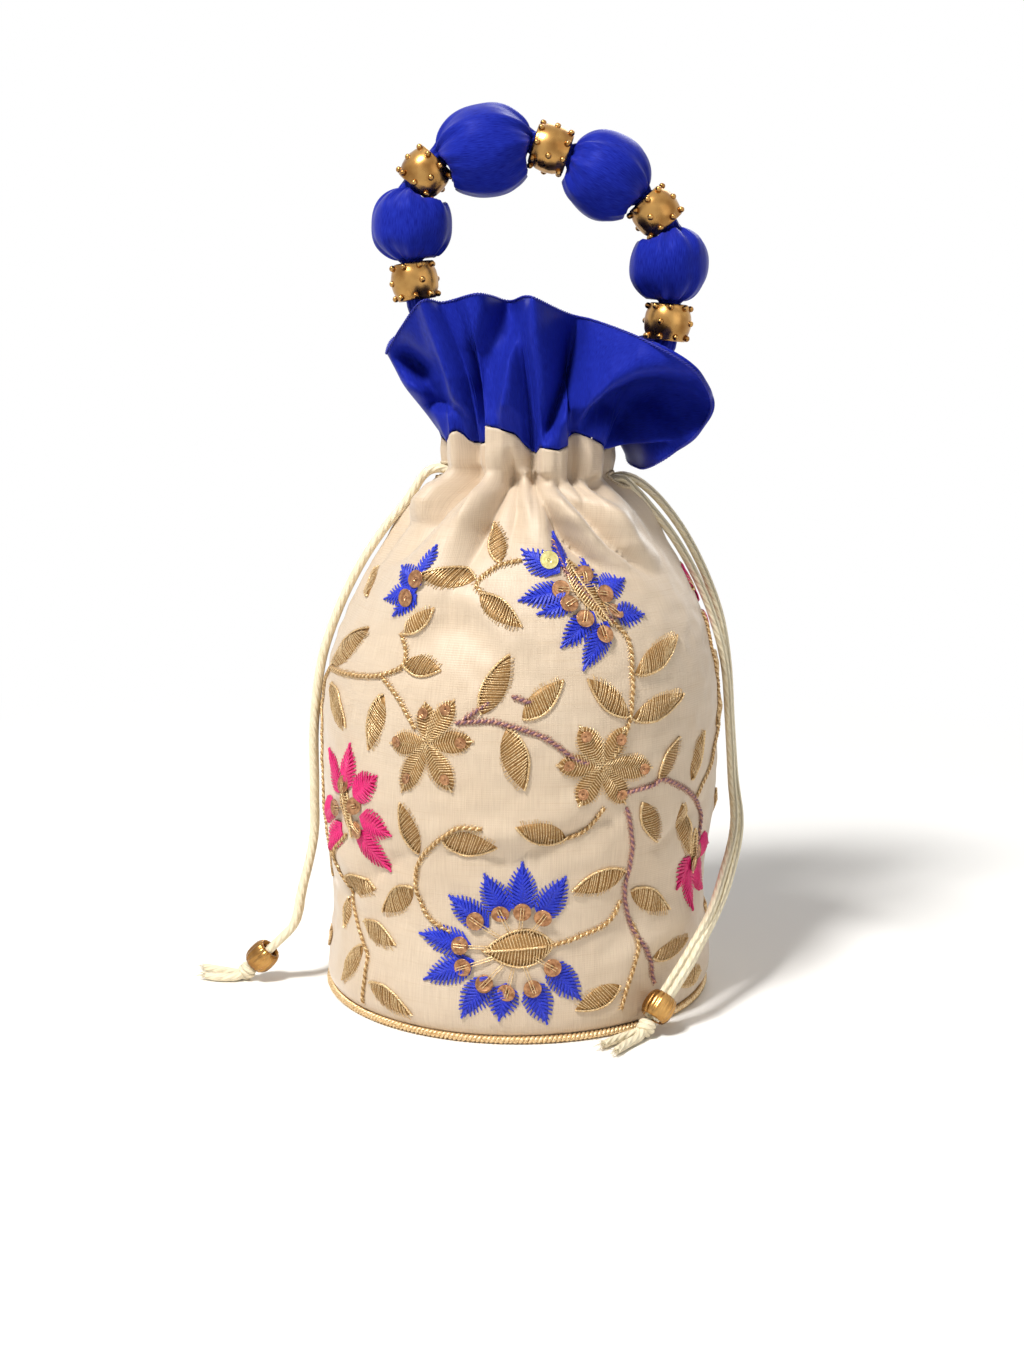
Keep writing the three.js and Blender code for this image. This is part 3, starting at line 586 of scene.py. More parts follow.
def makeSideCloth():
    columns = frontward(sideCloth["columns"])
    share = np.linspace(0, 1, sideCloth["rows"])
    azimuth, rise = np.meshgrid(columns, share)
    foot = bag["footStart"] + (seamHeight(azimuth) - bag["footStart"]) * (1.3 * rise - 0.3 * rise ** 2)
    points = clothPoint(azimuth, foot)
    faces = gridFaces(*azimuth.shape)
    middle = (azimuth.ravel()[faces[:, 0]], foot.ravel()[faces[:, 0]])
    kept = np.ones(len(faces), dtype=bool)
    for side, height in cordHeights.items():
        aside = np.abs((middle[0] - 90 * side + 180) % 360 - 180)
        over = np.abs(middle[1] - height)
        kept &= (aside >= sideCloth["slotHalfAngle"]) | (over >= sideCloth["slotHalfHeight"])
    uv = np.stack([np.radians(azimuth) * bag["bagRadius"] * mm, foot * mm], -1).reshape(-1, 2)
    piece = addPiece("sideCloth", points.reshape(-1, 3), faces[kept], uv=uv)
    thicken(piece, bag["clothThickness"])
    return finishPiece(piece, dupionSilk, "bag", ["bag_shell"])


sideClothPiece = makeSideCloth()
print("side cloth made")


# Lining: a cup of thin cloth that hugs the side cloth and bulges in at the cord casing

lining = {
    "columns": 128,
    "cut": (410, 232),
    "cutArea": 93500,
    "thickness": 0.7,
    "gap": 1.76,            # kept between the side cloth and the lining
    "floor": 3.75,
    "floorRadius": 59.5,
    "casingRadius": 15.7,
    "casingHalfHeight": 4.7,
    "topRadius": 19.4,
}


def closeMiddle(made):
    # fills the small hole in the middle of the cup's floor
    rim = [edge for edge in made.edges if edge.is_boundary and edge.verts[0].co.z < 0.1]
    bmesh.ops.contextual_create(made, geom=rim)


def makeLining():
    azimuth = -180 + 360 * np.arange(lining["columns"]) / lining["columns"]
    wave = waveAt(azimuth)
    level = 0 * azimuth
    rings = [placeAt(azimuth, lining["floorRadius"] * part, lining["floor"] + level) for part in (0.02, 0.5, 1)]
    for z in np.linspace(10.4, bag["neckHeight"] - 10, 40):
        slope = (roundRadius(z + 1) - roundRadius(z - 1)) / 2
        offset = (bag["clothThickness"] + lining["gap"]) * math.hypot(1, slope)
        rings.append(clothPoint(azimuth, z + level) - placeAt(azimuth, 1, level) * offset)
    half = lining["casingHalfHeight"]
    for z in np.linspace(-half, half, 8) + bag["neckHeight"]:
        rings.append(placeAt(azimuth, lining["casingRadius"] - 0.3 - 0.8 * (1 - wave), z + 0 * azimuth))
    for part in (0.5, 1):
        z = bag["neckHeight"] + half + part * (seamHeight(azimuth) - bag["neckHeight"] - 5.1)
        top = lining["casingRadius"] + part * (lining["topRadius"] - lining["casingRadius"])
        rings.append(placeAt(azimuth, top - 0.3, z))
    grid = np.stack(rings)
    uv = np.stack(np.broadcast_arrays(np.radians(azimuth) * 60 * mm, grid[..., 2] * mm), -1).reshape(-1, 2)
    piece = addPiece("liningCup", grid.reshape(-1, 3), gridFaces(*grid.shape[:2]), uv=uv)
    reworkMesh(piece, closeMiddle)
    thicken(piece, lining["thickness"])
    return finishPiece(piece, liningTaffeta, "bag", ["bag_lining"])


makeLining()
print("lining made")


# Frill: a doubled satin band that rises from the seam and falls open in deep folds

frill = {
    "height": 51.0,
    "thickness": 1.2,
    "seamGap": 0.6,
    "cut": (400, 48),
    "columns": 400,
    "rows": 56,
    "tuckDepth": 0.55,
    "flutterDepth": 0.8,
    "flutterWaves": (12, 8, 16, 40),
    "foldGain": 1.9,
    "bandGain": 2.2,
    "frontReach": 106,
    "frontFade": 14,
    "folds": [  # kind, then height, place across, width and how far forward it stands
        ("edge", [(188, -16, 8, 0.5), (197.5, -18.2, 9, 2.5), (207, -22.1, 10, 4), (215, -24.4, 11, 4.5),
                    (223, -28.2, 12, 4),
                  (231, -30.1, 12, 3), (243, -32.4, 12, 2)]),
        ("roll", [(203, -24, 3, 0), (206.6, -26.5, 3.2, -2.5), (211, -29, 3.6, -4.4), (216, -32.6, 4, -5),
                    (221, -36, 4, -4),
                  (225, -38, 4, -1.8), (230, -39, 4, 0)]),
        ("roll", [(196, -9.5, 3, 0), (201, -9.6, 3, -2.4), (210, -10.6, 4, -4), (223, -9.6, 5.5, -5),
                    (236, -5, 6, -4.6),
                  (244, -4, 6, -3)]),
        ("edge", [(192, -9, 10, 1), (200.7, -7.1, 11, 3), (210.5, -5.7, 12, 3.8), (220.5, -4.1, 12, 4),
                    (229.8, -0.5, 12, 4),
                  (243, 5, 12, 3)]),
        ("crease", [(186, 6, 1.8, -1.5), (192.6, 8.1, 2, -3.4), (199, 10.4, 2.3, -4.6), (209, 13.9, 2.7, -5.4),
                    (215, 15.9, 3, -5.4), (225, 18, 3.4, -4.8), (233.6, 19, 3.4, -3.4), (240, 19.5, 3, -1)]),
        ("edge", [(190, 10, 12, 1), (199, 12.4, 14, 2.4), (209, 15.9, 16, 3), (225, 21, 16, 3),
                    (238, 22, 14, 1.5)]),
        ("roll", [(182, 27.3, 4, 0), (186, 27.3, 4, 2.4), (198, 27.8, 4, 2.2), (204, 28, 4, 0)]),
        ("roll", [(180, 36.5, 3.5, 0), (185, 36.5, 3.5, -2.2), (199, 35.7, 3.5, -2), (205, 35.5, 3.5, 0)]),
        ("roll", [(184, 45.4, 4.5, 0), (188, 45.4, 4.5, 2.6), (200, 44.2, 4.5, 2.4), (207, 44, 4.5, 0)]),
        ("roll", [(187, 53.6, 3, 0), (191, 53.6, 3, -1.8), (202, 52, 3, -1.5), (208, 52, 3, 0)]),
    ],
    "bands": [  # kind, then place across, height, width and how far forward it stands
        ("edge", [(12, 190, 12, 0), (17, 195, 16, 1.6), (23.8, 205, 20, 3.4), (30.3, 210.2, 22, 4.4),
                    (38.1, 214, 22, 4.6),
                  (46.6, 215.3, 20, 4), (56.4, 213.7, 16, 2.4), (64, 208, 12, 0)]),
        ("roll", [(22, 188, 8, 0), (30, 186, 9, 3), (42, 186, 10, 4.4), (54, 190, 10, 3.4), (64, 197, 8, 0)]),
        ("crease", [(-44, 223, 3, 0), (-38, 220.5, 3, -2.4), (-32, 218, 3, -2.4), (-27, 216, 2.5, 0)]),
        ("roll", [(-42, 212, 3.5, 0), (-37, 211, 3.5, 1.8), (-31, 211, 3.5, 1.6), (-26, 211, 3, 0)]),
        ("edge", [(16, 193, -4, 0), (19.9, 197.2, -5, -2), (23.8, 205, -8, -4.6), (30.3, 210.2, -11, -7),
                    (38.1, 214, -12, -8),
                  (46.6, 215.3, -12, -8), (56.4, 213.7, -10, -6), (61.4, 208.9, -8, -3.4), (67, 206, -6, 0)]),
        ("roll", [(20, 199, 4, 0), (23.8, 208, 5, 1.6), (30.3, 214, 6, 2.8), (38, 218, 7, 3.2),
                    (46.6, 219.5, 7, 3.2),
                  (56.4, 218, 6, 2), (65, 212, 5, 0)]),
        ("crease", [(-33, 205, 2.4, 0), (-28.7, 205.6, 2.4, -2.2), (-23.8, 205.9, 2.4, -3),
                    (-19.5, 203, 2.4, -2), (-15, 200, 2.4, 0)]),
    ],
    "edge": [  # gather, then across, back and rise in heights, then how far out and up the cloth bends
        (0, -0.69, -0.39, 0.95, 0.25, 0.55), (0.5, -0.55, -0.28, 0.96, 0.2, 0.5),
        (1, -0.33, -0.51, 1.01, 0.2, 0.5), (1.5, -0.13, -0.34, 0.97, 0.2, 0.5),
        (2, 0.0, -0.55, 0.99, 0.25, 0.5), (2.5, 0.24, -0.34, 0.89, 0.15, 0.5),
        (2.75, 0.52, -0.53, 0.8, 0.2, 0.6), (3, 0.85, -0.71, 0.64, 0.3, 0.75),
        (3.25, 1.07, -0.78, 0.47, 0.35, 0.72), (3.5, 1.16, -0.71, 0.29, 0.1, 0.3),
        (3.75, 1.05, -0.63, 0.11, 0.3, 0.05), (4, 0.88, -0.38, -0.03, 0.6, 0.2),
        (4.25, 0.72, -0.06, -0.12, 0.6, 0.22), (4.5, 0.68, 0.2, 0.02, 0.4, 0.35),
        (5, 0.91, 0.47, 0.68, 0.3, 0.5), (5.5, 0.73, 0.59, 0.73, 0.2, 0.5), (6, 0.46, 0.82, 0.81, 0.3, 0.5),
        (6.5, 0.22, 0.61, 0.87, 0.2, 0.5), (7, -0.04, 0.84, 0.97, 0.3, 0.5), (7.5, -0.25, 0.55, 0.93, 0.2, 0.5),
        (8, -0.52, 0.75, 0.96, 0.3, 0.5), (8.5, -0.67, 0.41, 0.89, 0.25, 0.5),
        (9, -0.91, 0.27, 0.74, 0.5, 0.45), (9.5, -0.97, -0.06, 0.64, 0.7, 0.45),
    ],
}


def closedCurve(points, at):
    # smooth closed curve through the points, at from 0 to their number round it
    points = np.asarray(points, float)
    first = np.floor(at).astype(int)
    t = (at - first)[..., None]
    a, b, c, d = (points[(first + k) % len(points)] for k in (-1, 0, 1, 2))
    return smoothCurve(a, b, c, d, t)


def frillPoint(azimuth, share):
    gather, phase = gatherPhase(azimuth)
    start = clothPoint(azimuth, seamHeight(azimuth))
    start[..., 2] += frill["seamGap"]
    table = np.asarray(frill["edge"])
    gathers = np.append(table[:, 0], len(bag["crests"]))
    row = closedCurve(table[:, 1:], np.interp(gather + phase, gathers, np.arange(len(gathers))))
    end = row[..., :3] * frill["height"] + [bag["neckLean"], 0, bag["neckHeight"] + bag["headerHeight"]]
    middle = start + (end - start) * row[..., 3:4]
    middle[..., 2] = start[..., 2] + row[..., 4] * frill["height"]
    t = share[..., None]
    point = (1 - t) ** 2 * start + 2 * t * (1 - t) * middle + t ** 2 * end
    turn = np.radians(azimuth)
    tucks = np.sin(37 * turn + 2 * np.sin(4 * turn)) + 0.5 * np.sin(61 * turn + 1)
    front = np.clip((frill["frontReach"] - np.abs(turned(azimuth))) / frill["frontFade"], 0, 1)
    front = front ** 2 * (3 - 2 * front) * np.clip(share * 6, 0, 1)
    push = foldPush(point[..., 0], point[..., 2], 1.0, frill["folds"], frill["foldGain"])
    push = push + foldPush(point[..., 2], point[..., 0], 1.0, frill["bands"], frill["bandGain"])
    point[..., 1] -= front * push
    tucks = tucks * frill["tuckDepth"] * (1 - share) ** 1.5 * np.clip(share * 12, 0.4, 1) * (1 - 0.6 * front)
    flutter = frill["flutterDepth"] * ripples(point, *frill["flutterWaves"]) * share ** 1.5
    outward = np.stack([np.sin(turn), -np.cos(turn), 0 * turn], -1)
    return point + outward * (tucks + flutter)[..., None]


def makeFrill():
    azimuth, share = np.meshgrid(frontward(frill["columns"]), np.linspace(0, 1, frill["rows"]))
    points = frillPoint(azimuth, share)
    around = np.linalg.norm(np.roll(points, -1, 1) - points, axis=-1).mean(0)
    run = np.concatenate([[0], np.cumsum(around)[:-1]])
    uv = np.stack(np.broadcast_arrays(run * mm, share * frill["height"] * mm), -1).reshape(-1, 2)
    piece = addPiece("frillBand", points.reshape(-1, 3), gridFaces(*azimuth.shape), uv=uv)
    thicken(piece, frill["thickness"])
    finishPiece(piece, royalSatin, "bag", ["frill"])
    return piece, points


frillPiece, frillPoints = makeFrill()
print("frill made")


# Geometry Nodes: threads laid on a surface, twisted cords, and small parts set on points

def newTree(name, inputs):
    tree = bpy.data.node_groups.new(name, "GeometryNodeTree")
    tree.interface.new_socket("Geometry", in_out="INPUT", socket_type="NodeSocketGeometry")
    for label, (kind, value) in inputs.items():
        socket = tree.interface.new_socket(label, in_out="INPUT", socket_type=kind)
        if value is not None:
            socket.default_value = value
    tree.interface.new_socket("Geometry", in_out="OUTPUT", socket_type="NodeSocketGeometry")
    return tree, addNode(tree, "NodeGroupInput"), addNode(tree, "NodeGroupOutput")


def endTree(tree, given, out, geometry):
    real = addNode(tree, "GeometryNodeRealizeInstances", links={"Geometry": geometry})
    smooth = addNode(tree, "GeometryNodeSetShadeSmooth", links={"Geometry": real.outputs[0]})
    painted = addNode(tree, "GeometryNodeSetMaterial", links={
        "Geometry": smooth.outputs[0], "Material": given.outputs["Material"]})
    tree.links.new(painted.outputs[0], out.inputs[0])


def addTube(tree, given, curve, radius, links=None):
    # a thread round a curve, its ends closed
    section = addNode(tree, "GeometryNodeCurvePrimitiveCircle", links={
        "Resolution": given.outputs["Sides"], "Radius": given.outputs[radius]})
    return addNode(tree, "GeometryNodeCurveToMesh", {"Fill Caps": True}, {
        "Curve": curve, "Profile Curve": section.outputs[0], **(links or {})}).outputs[0]


def scaled(tree, vector, scale):
    return addNode(tree, "ShaderNodeVectorMath", {"operation": "SCALE"},
                   {"Vector": vector, "Scale": scale}).outputs[0]


def makeStitchTree():
    # each loose edge becomes one thread that arches over the cloth
    tree, given, out = newTree("laidStitches", {
        "Thread Radius": ("NodeSocketFloat", 0.00022),
        "Arch": ("NodeSocketFloat", 0.0004),
        "Steps": ("NodeSocketInt", 5),
        "Sides": ("NodeSocketInt", 4),
        "Taper": ("NodeSocketFloat", 0.0),
        "Material": ("NodeSocketMaterial", None),
    })
    line = addNode(tree, "GeometryNodeMeshToCurve", links={"Mesh": given.outputs["Geometry"]})
    fine = addNode(tree, "GeometryNodeResampleCurve", links={
        "Curve": line.outputs[0], "Count": given.outputs["Steps"]})
    away = addNode(tree, "GeometryNodeInputNamedAttribute", {"data_type": "FLOAT_VECTOR", "Name": "away"})
    along = addNode(tree, "GeometryNodeSplineParameter").outputs[0]
    hump = addMath(tree, "MULTIPLY", along, addMath(tree, "SUBTRACT", 1.0, along))
    arch = addMath(tree, "MULTIPLY", addMath(tree, "MULTIPLY", hump, 4.0), given.outputs["Arch"])
    bent = addNode(tree, "GeometryNodeSetPosition", links={
        "Geometry": fine.outputs[0], "Offset": scaled(tree, away.outputs[0], arch)})
    thin = addMath(tree, "SUBTRACT", 1.0, addMath(tree, "MULTIPLY", along, given.outputs["Taper"]))
    endTree(tree, given, out, addTube(tree, given, bent.outputs[0], "Thread Radius", {"Scale": thin}))
    return tree


def makeTwistTree(strands):
    # a path becomes a cord of twisted strands
    tree, given, out = newTree("twistedCord%d" % strands, {
        "Strand Radius": ("NodeSocketFloat", 0.0005),
        "Lay Radius": ("NodeSocketFloat", 0.0004),
        "Pitch": ("NodeSocketFloat", 0.003),
        "Step": ("NodeSocketFloat", 0.0005),
        "Phase": ("NodeSocketFloat", 0.0),
        "Sides": ("NodeSocketInt", 6),
        "Material": ("NodeSocketMaterial", None),
    })
    line = addNode(tree, "GeometryNodeMeshToCurve", links={"Mesh": given.outputs["Geometry"]})
    fine = addNode(tree, "GeometryNodeResampleCurve", {"mode": "LENGTH"}, {
        "Curve": line.outputs[0], "Length": given.outputs["Step"]})
    along = addNode(tree, "GeometryNodeSplineParameter").outputs[1]
    turns = addMath(tree, "ADD", addMath(tree, "DIVIDE", along, given.outputs["Pitch"]), given.outputs["Phase"])
    normal = addNode(tree, "GeometryNodeInputNormal").outputs[0]
    tangent = addNode(tree, "GeometryNodeInputTangent").outputs[0]
    side = addNode(tree, "ShaderNodeVectorMath", {"operation": "CROSS_PRODUCT"},
                   {0: normal, 1: tangent}).outputs[0]
    joined = addNode(tree, "GeometryNodeJoinGeometry")
    for strand in range(strands):
        angle = addMath(tree, "MULTIPLY", addMath(tree, "ADD", turns, strand / strands), 2 * math.pi)
        offsets = []
        for operation, way in (("COSINE", normal), ("SINE", side)):
            reach = addMath(tree, "MULTIPLY", addMath(tree, operation, angle), given.outputs["Lay Radius"])
            offsets.append(scaled(tree, way, reach))
        shift = addNode(tree, "ShaderNodeVectorMath", {"operation": "ADD"}, {0: offsets[0], 1: offsets[1]})
        moved = addNode(tree, "GeometryNodeSetPosition", links={
            "Geometry": fine.outputs[0], "Offset": shift.outputs[0]})
        tree.links.new(addTube(tree, given, moved.outputs[0], "Strand Radius"), joined.inputs[0])
    endTree(tree, given, out, joined.outputs[0])
    return tree


def makeSettingTree():
    # a small part set on each point, turned to the point's own direction
    tree, given, out = newTree("setOnPoints", {
        "Part": ("NodeSocketObject", None),
        "Material": ("NodeSocketMaterial", None),
    })
    away = addNode(tree, "GeometryNodeInputNamedAttribute", {"data_type": "FLOAT_VECTOR", "Name": "away"})
    facing = addNode(tree, "FunctionNodeAlignRotationToVector", {"axis": "Z"}, {"Vector": away.outputs[0]})
    part = addNode(tree, "GeometryNodeObjectInfo", links={"Object": given.outputs["Part"]})
    placed = addNode(tree, "GeometryNodeInstanceOnPoints", links={
        "Points": given.outputs["Geometry"], "Instance": part.outputs["Geometry"],
        "Rotation": facing.outputs[0]})
    endTree(tree, given, out, placed.outputs[0])
    return tree


def grow(piece, tree, values):
    # runs a tree on a piece with its inputs set by their identifiers, and keeps the plain result
    made = piece.modifiers.new(tree.name, "NODES")
    made.node_group = tree
    for socket in tree.interface.items_tree:
        if socket.in_out == "INPUT" and socket.name in values:
            made[socket.identifier] = values[socket.name]
    return bake(piece)


stitchTree = makeStitchTree()
twistTree = makeTwistTree(2)
strandTree = makeTwistTree(1)
settingTree = makeSettingTree()


def pathPiece(name, paths, away=None, closed=False):
    # polylines, or loose points, as a mesh with no faces
    points = np.concatenate(paths)
    edges = []
    start = 0
    for path in paths:
        count = len(path)
        edges += [(start + k, start + k + 1) for k in range(count - 1)]
        if closed:
            edges.append((start + count - 1, start))
        start += count
    piece = addPiece(name, points, [], edges)
    if away is not None:
        layer = piece.data.attributes.new("away", "FLOAT_VECTOR", "POINT")
        layer.data.foreach_set("vector", np.concatenate(away).astype(np.float32).ravel())
    return piece


ropes = {  # a strand's radius, how far from the middle it lies, the pitch and the step along it, then its sides
    "hem": (0.22, 0.28, 2.4, 0.5, 5),
    "piping": (0.72, 0.66, 3.1, 0.4, 7),
    "leafEdge": (0.3, 0.26, 1.9, 0.6, 4),
    "vine": (0.38, 0.34, 2.2, 0.36, 5),
    "slotEdge": (0.42, 0.36, 1.6, 0.3, 6),
}


def addRope(name, paths, material, kind, replaced=(), closed=False, tree=twistTree, phase=0.0):
    strand, lay, pitch, step, sides = ropes[kind]
    piece = pathPiece(name, paths, closed=closed)
    grow(piece, tree, {
        "Strand Radius": strand * mm, "Lay Radius": lay * mm, "Pitch": pitch * mm, "Step": step * mm,
        "Phase": phase, "Sides": sides, "Material": material})
    return finishPiece(piece, material, "bag", replaced)


# Frill's hem: a fine twisted thread sewn over the free edge

def makeFrillHem():
    piece = addRope("frillHem", [frillPoints[-1]], hemThread, "hem", closed=True)


makeFrillHem()
print("frill hem made")


# Base: panel, board and the corded piping

base = {
    "panelCut": (131, 131),
    "panelCutArea": 13430,
    "panelRadius": 65.4,
    "panelThickness": 1.0,
    "pipingMajor": 67.5,
    "pipingRadius": 1.4,
}


def makeBasePanel():
    edge, thick = base["panelRadius"], base["panelThickness"]
    radii = [0, 20, 40, 55, 62, edge - 0.4, edge, edge - 0.4, 40, 0]
    heights = [0, 0, 0, 0, 0, 0, thick / 2, thick, thick, thick]
    azimuth = 360 * np.arange(120) / 120
    grid = np.stack([placeAt(azimuth, max(r, 0.01), z + 0 * azimuth) for r, z in zip(radii, heights)])
    grid[..., 0] -= leanAt(grid[..., 2])
    uv = grid[..., :2].reshape(-1, 2) * mm
    piece = addPiece("basePanelCloth", grid.reshape(-1, 3), gridFaces(*grid.shape[:2]), uv=uv)
    faceOutwards(piece)
    return finishPiece(piece, dupionSilk, "bag", ["base_panel"])


def makePiping():
    azimuth = 2 * np.pi * np.arange(240) / 240
    height = base["pipingRadius"] + 0 * azimuth
    ring = np.stack([base["pipingMajor"] * np.cos(azimuth), base["pipingMajor"] * np.sin(azimuth), height], -1)
    return addRope("zariPiping", [ring], zariThread, "piping", ["base_piping"], closed=True)


makeBasePanel()
makePiping()
repaint(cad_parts["base_board"], greyBoard)
print("base made")


# Handle: a satin tube over stuffed balls, strung with rings

handle = {
    "across": -37.9,
    "rise": 58.8,
    "tubeRadius": 4.0,
    "rootRadius": 2.6,
    "rootAcross": 17.15,
    "rootHeight": 194.35,
    "wall": 0.8,
    "ringLength": 13.0,
    "ringRadius": 8.0,
    "sides": 72,
    "creaseDepth": 1.5,
    "creases": 8,
    "dentEase": 0.45,
    "lumpDepth": 0.35,
    "lumpWaves": (21, 8, 12, 30),
    "legSteps": 22,
    "legReach": 0.96,       # how far up a leg the tube's own rows go before the first ring's
    "legCrease": 0.25,
    "ringSteps": 7,
    "ringEase": 0.1,        # the tube is this much thinner inside a ring
    "ringCrease": 0.3,
    "ballSteps": 44,
    "ballEdge": 2.5,        # how square and how full a ball's outline is
    "ballFullness": 0.62,
    "puckerEdge": 2.2,      # how close to a ball's ends its puckers keep
    "puckerShare": 0.9,
    "puckerLeast": 0.06,
    "links": [
        (98, None, None), (89, 24.2, 13.6), (48, None, None), (9, 32.0, 15.0), (-18, None, None),
        (-29, 28.4, 14.6), (-48, None, None), (-88, 25.0, 13.6), (-95, None, None),
    ],
}


def headingVector(degrees):
    turn = math.radians(degrees)
    return np.array([math.cos(turn), 0, math.sin(turn)])


def layLinks():
    end = np.array([bag["neckLean"] + handle["across"], 0, bag["neckHeight"] + handle["rise"]])
    laid = []
    for heading, length, radius in handle["links"]:
        start, axis = end, headingVector(heading)
        end = start + axis * (length or handle["ringLength"])
        laid.append({"start": start, "end": end, "axis": axis, "heading": heading, "radius": radius})
    return laid


links = layLinks()
ringLinks = [link for link in links if link["radius"] is None]


def legPath(side, top, topAxis, shares):
    root = np.array([bag["neckLean"] + side * handle["rootAcross"], 0, handle["rootHeight"]])
    reach = np.linalg.norm(root - top) / 3
    a, b, c, d = root, root + [0, 0, reach], top - topAxis * reach * 0.5, top
    t = shares[:, None]
    points = (1 - t) ** 3 * a + 3 * t * (1 - t) ** 2 * b + 3 * t ** 2 * (1 - t) * c + t ** 3 * d
    ways = 3 * ((1 - t) ** 2 * (b - a) + 2 * t * (1 - t) * (c - b) + t ** 2 * (d - c))
    return points, np.degrees(np.arctan2(ways[:, 2], ways[:, 0]))


def coverStations():
    # centre, heading, radius, crease strength and ball number along the whole tube
    tube, root, crease = handle["tubeRadius"], handle["rootRadius"], handle["legCrease"]
    shares = np.linspace(0, handle["legReach"], handle["legSteps"])
    points, headings = legPath(-1, links[0]["start"], links[0]["axis"], shares)
    radii = root + (tube - root) * np.clip(shares / 0.75, 0, 1)
    rows = [(p, h, r, crease, -1) for p, h, r in zip(points, headings, radii)]
    number = 0
    for link in links:
        if link["radius"] is None:
            for part in np.linspace(0, 1, handle["ringSteps"]):
                centre = link["start"] + part * (link["end"] - link["start"])
                rows.append((centre, link["heading"], tube - handle["ringEase"], handle["ringCrease"], -1))
            continue
        for part in 0.5 - 0.5 * np.cos(np.pi * np.linspace(0.03, 0.97, handle["ballSteps"])):
            swell = (1 - abs(2 * part - 1) ** handle["ballEdge"]) ** handle["ballFullness"]
            pucker = (abs(2 * part - 1) ** handle["puckerEdge"]) * handle["puckerShare"] + handle["puckerLeast"]
            centre = link["start"] + part * (link["end"] - link["start"])
            rows.append((centre, link["heading"], tube + (link["radius"] - tube) * swell, pucker, number))
        number += 1
    points, headings = legPath(1, links[-1]["end"], -links[-1]["axis"], shares[::-1])
    return rows + [(p, h - 180, r, crease, -1) for p, h, r in zip(points, headings, radii[::-1])]


def dented(points):
    # where a ball bears on a ring, the cloth gives way to the ring's end and rounds over its rim
    for ring in ringLinks:
        for face, outward in ((ring["start"], -1), (ring["end"], 1)):
            away = points - face
            along = away @ ring["axis"] * outward
            off = np.sqrt(np.maximum((away ** 2).sum(-1) - along ** 2, 0))
            least = 0.6 - np.maximum(off - handle["ringRadius"], 0) ** 2 / 2.2
            push = handle["dentEase"] * np.log1p(np.exp(np.clip((least - along) / handle["dentEase"], -30, 30)))
            near = (along > -handle["ringLength"] / 2) & (off < handle["ringRadius"] + 6)
            points = points + ring["axis"] * outward * np.where(near, push, 0)[..., None]
    return points


def makeHandleCover():
    stations = coverStations()
    turn = 2 * np.pi * np.arange(handle["sides"]) / handle["sides"]
    rings = []
    for centre, heading, radius, crease, number in stations:
        upward = headingVector(heading + 90)
        wobble = np.cos(handle["creases"] * turn + 1.3 * number + 1.2 * np.sin(2 * turn + number))
        wobble = wobble + 0.5 * np.cos(17 * turn + 2 * number + 1)
        depth = handle["creaseDepth"] * crease * min(radius / 8, 1)
        spread = radius + depth * (wobble - 0.9)
        ring = centre + spread[:, None] * roundSpokes(upward, np.array([0, 1, 0]), handle["sides"])[1]
        rings.append(dented(ring) if number >= 0 else ring)
    grid = np.stack(rings)
    ballMask = np.array([row[4] >= 0 for row in stations])
    lumps = ripples(grid, *handle["lumpWaves"])
    outward = unit(grid - np.stack([row[0] for row in stations])[:, None])
    grid = grid + outward * (handle["lumpDepth"] * lumps * ballMask[:, None])[..., None]
    run = runAlong([row[0] for row in stations])
    uv = np.stack(np.broadcast_arrays(turn[None, :] * 12 * mm, run[:, None] * mm), -1).reshape(-1, 2)
    piece = addPiece("handleTube", grid.reshape(-1, 3), gridFaces(*grid.shape[:2])[:, ::-1], uv=uv)
    thicken(piece, handle["wall"])
    return finishPiece(piece, royalSatin, "handle", ["handle_cover"])


makeHandleCover()
for number in range(1, 5):
    repaint(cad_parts["handle_core_%d" % number], stuffingFibre)
print("handle made")


# Barrel rings with round studs

ringShape = {
    "segments": 72,
    "studRadius": 1.1,
    "studRows": [  # along the ring, share of a step turned, distance from its middle, number
        (-5.0, 0.0, 7.25, 8), (5.0, 0.5, 7.25, 8), (0.0, 0.25, 8.0, 4),
    ],
    "profile": [
        (4.75, -6.0), (5.6, -6.2), (6.2, -6.2), (6.6, -5.9), (6.7, -5.3), (7.0, -4.6), (7.35, -3.8),
        (7.7, -2.8), (7.95, -1.4), (8.05, 0.0), (7.95, 1.4), (7.7, 2.8), (7.35, 3.8), (7.0, 4.6), (6.7, 5.3),
        (6.6, 5.9), (6.2, 6.2), (5.6, 6.2), (4.75, 6.0), (4.65, 3.0), (4.65, -3.0),
    ],
}


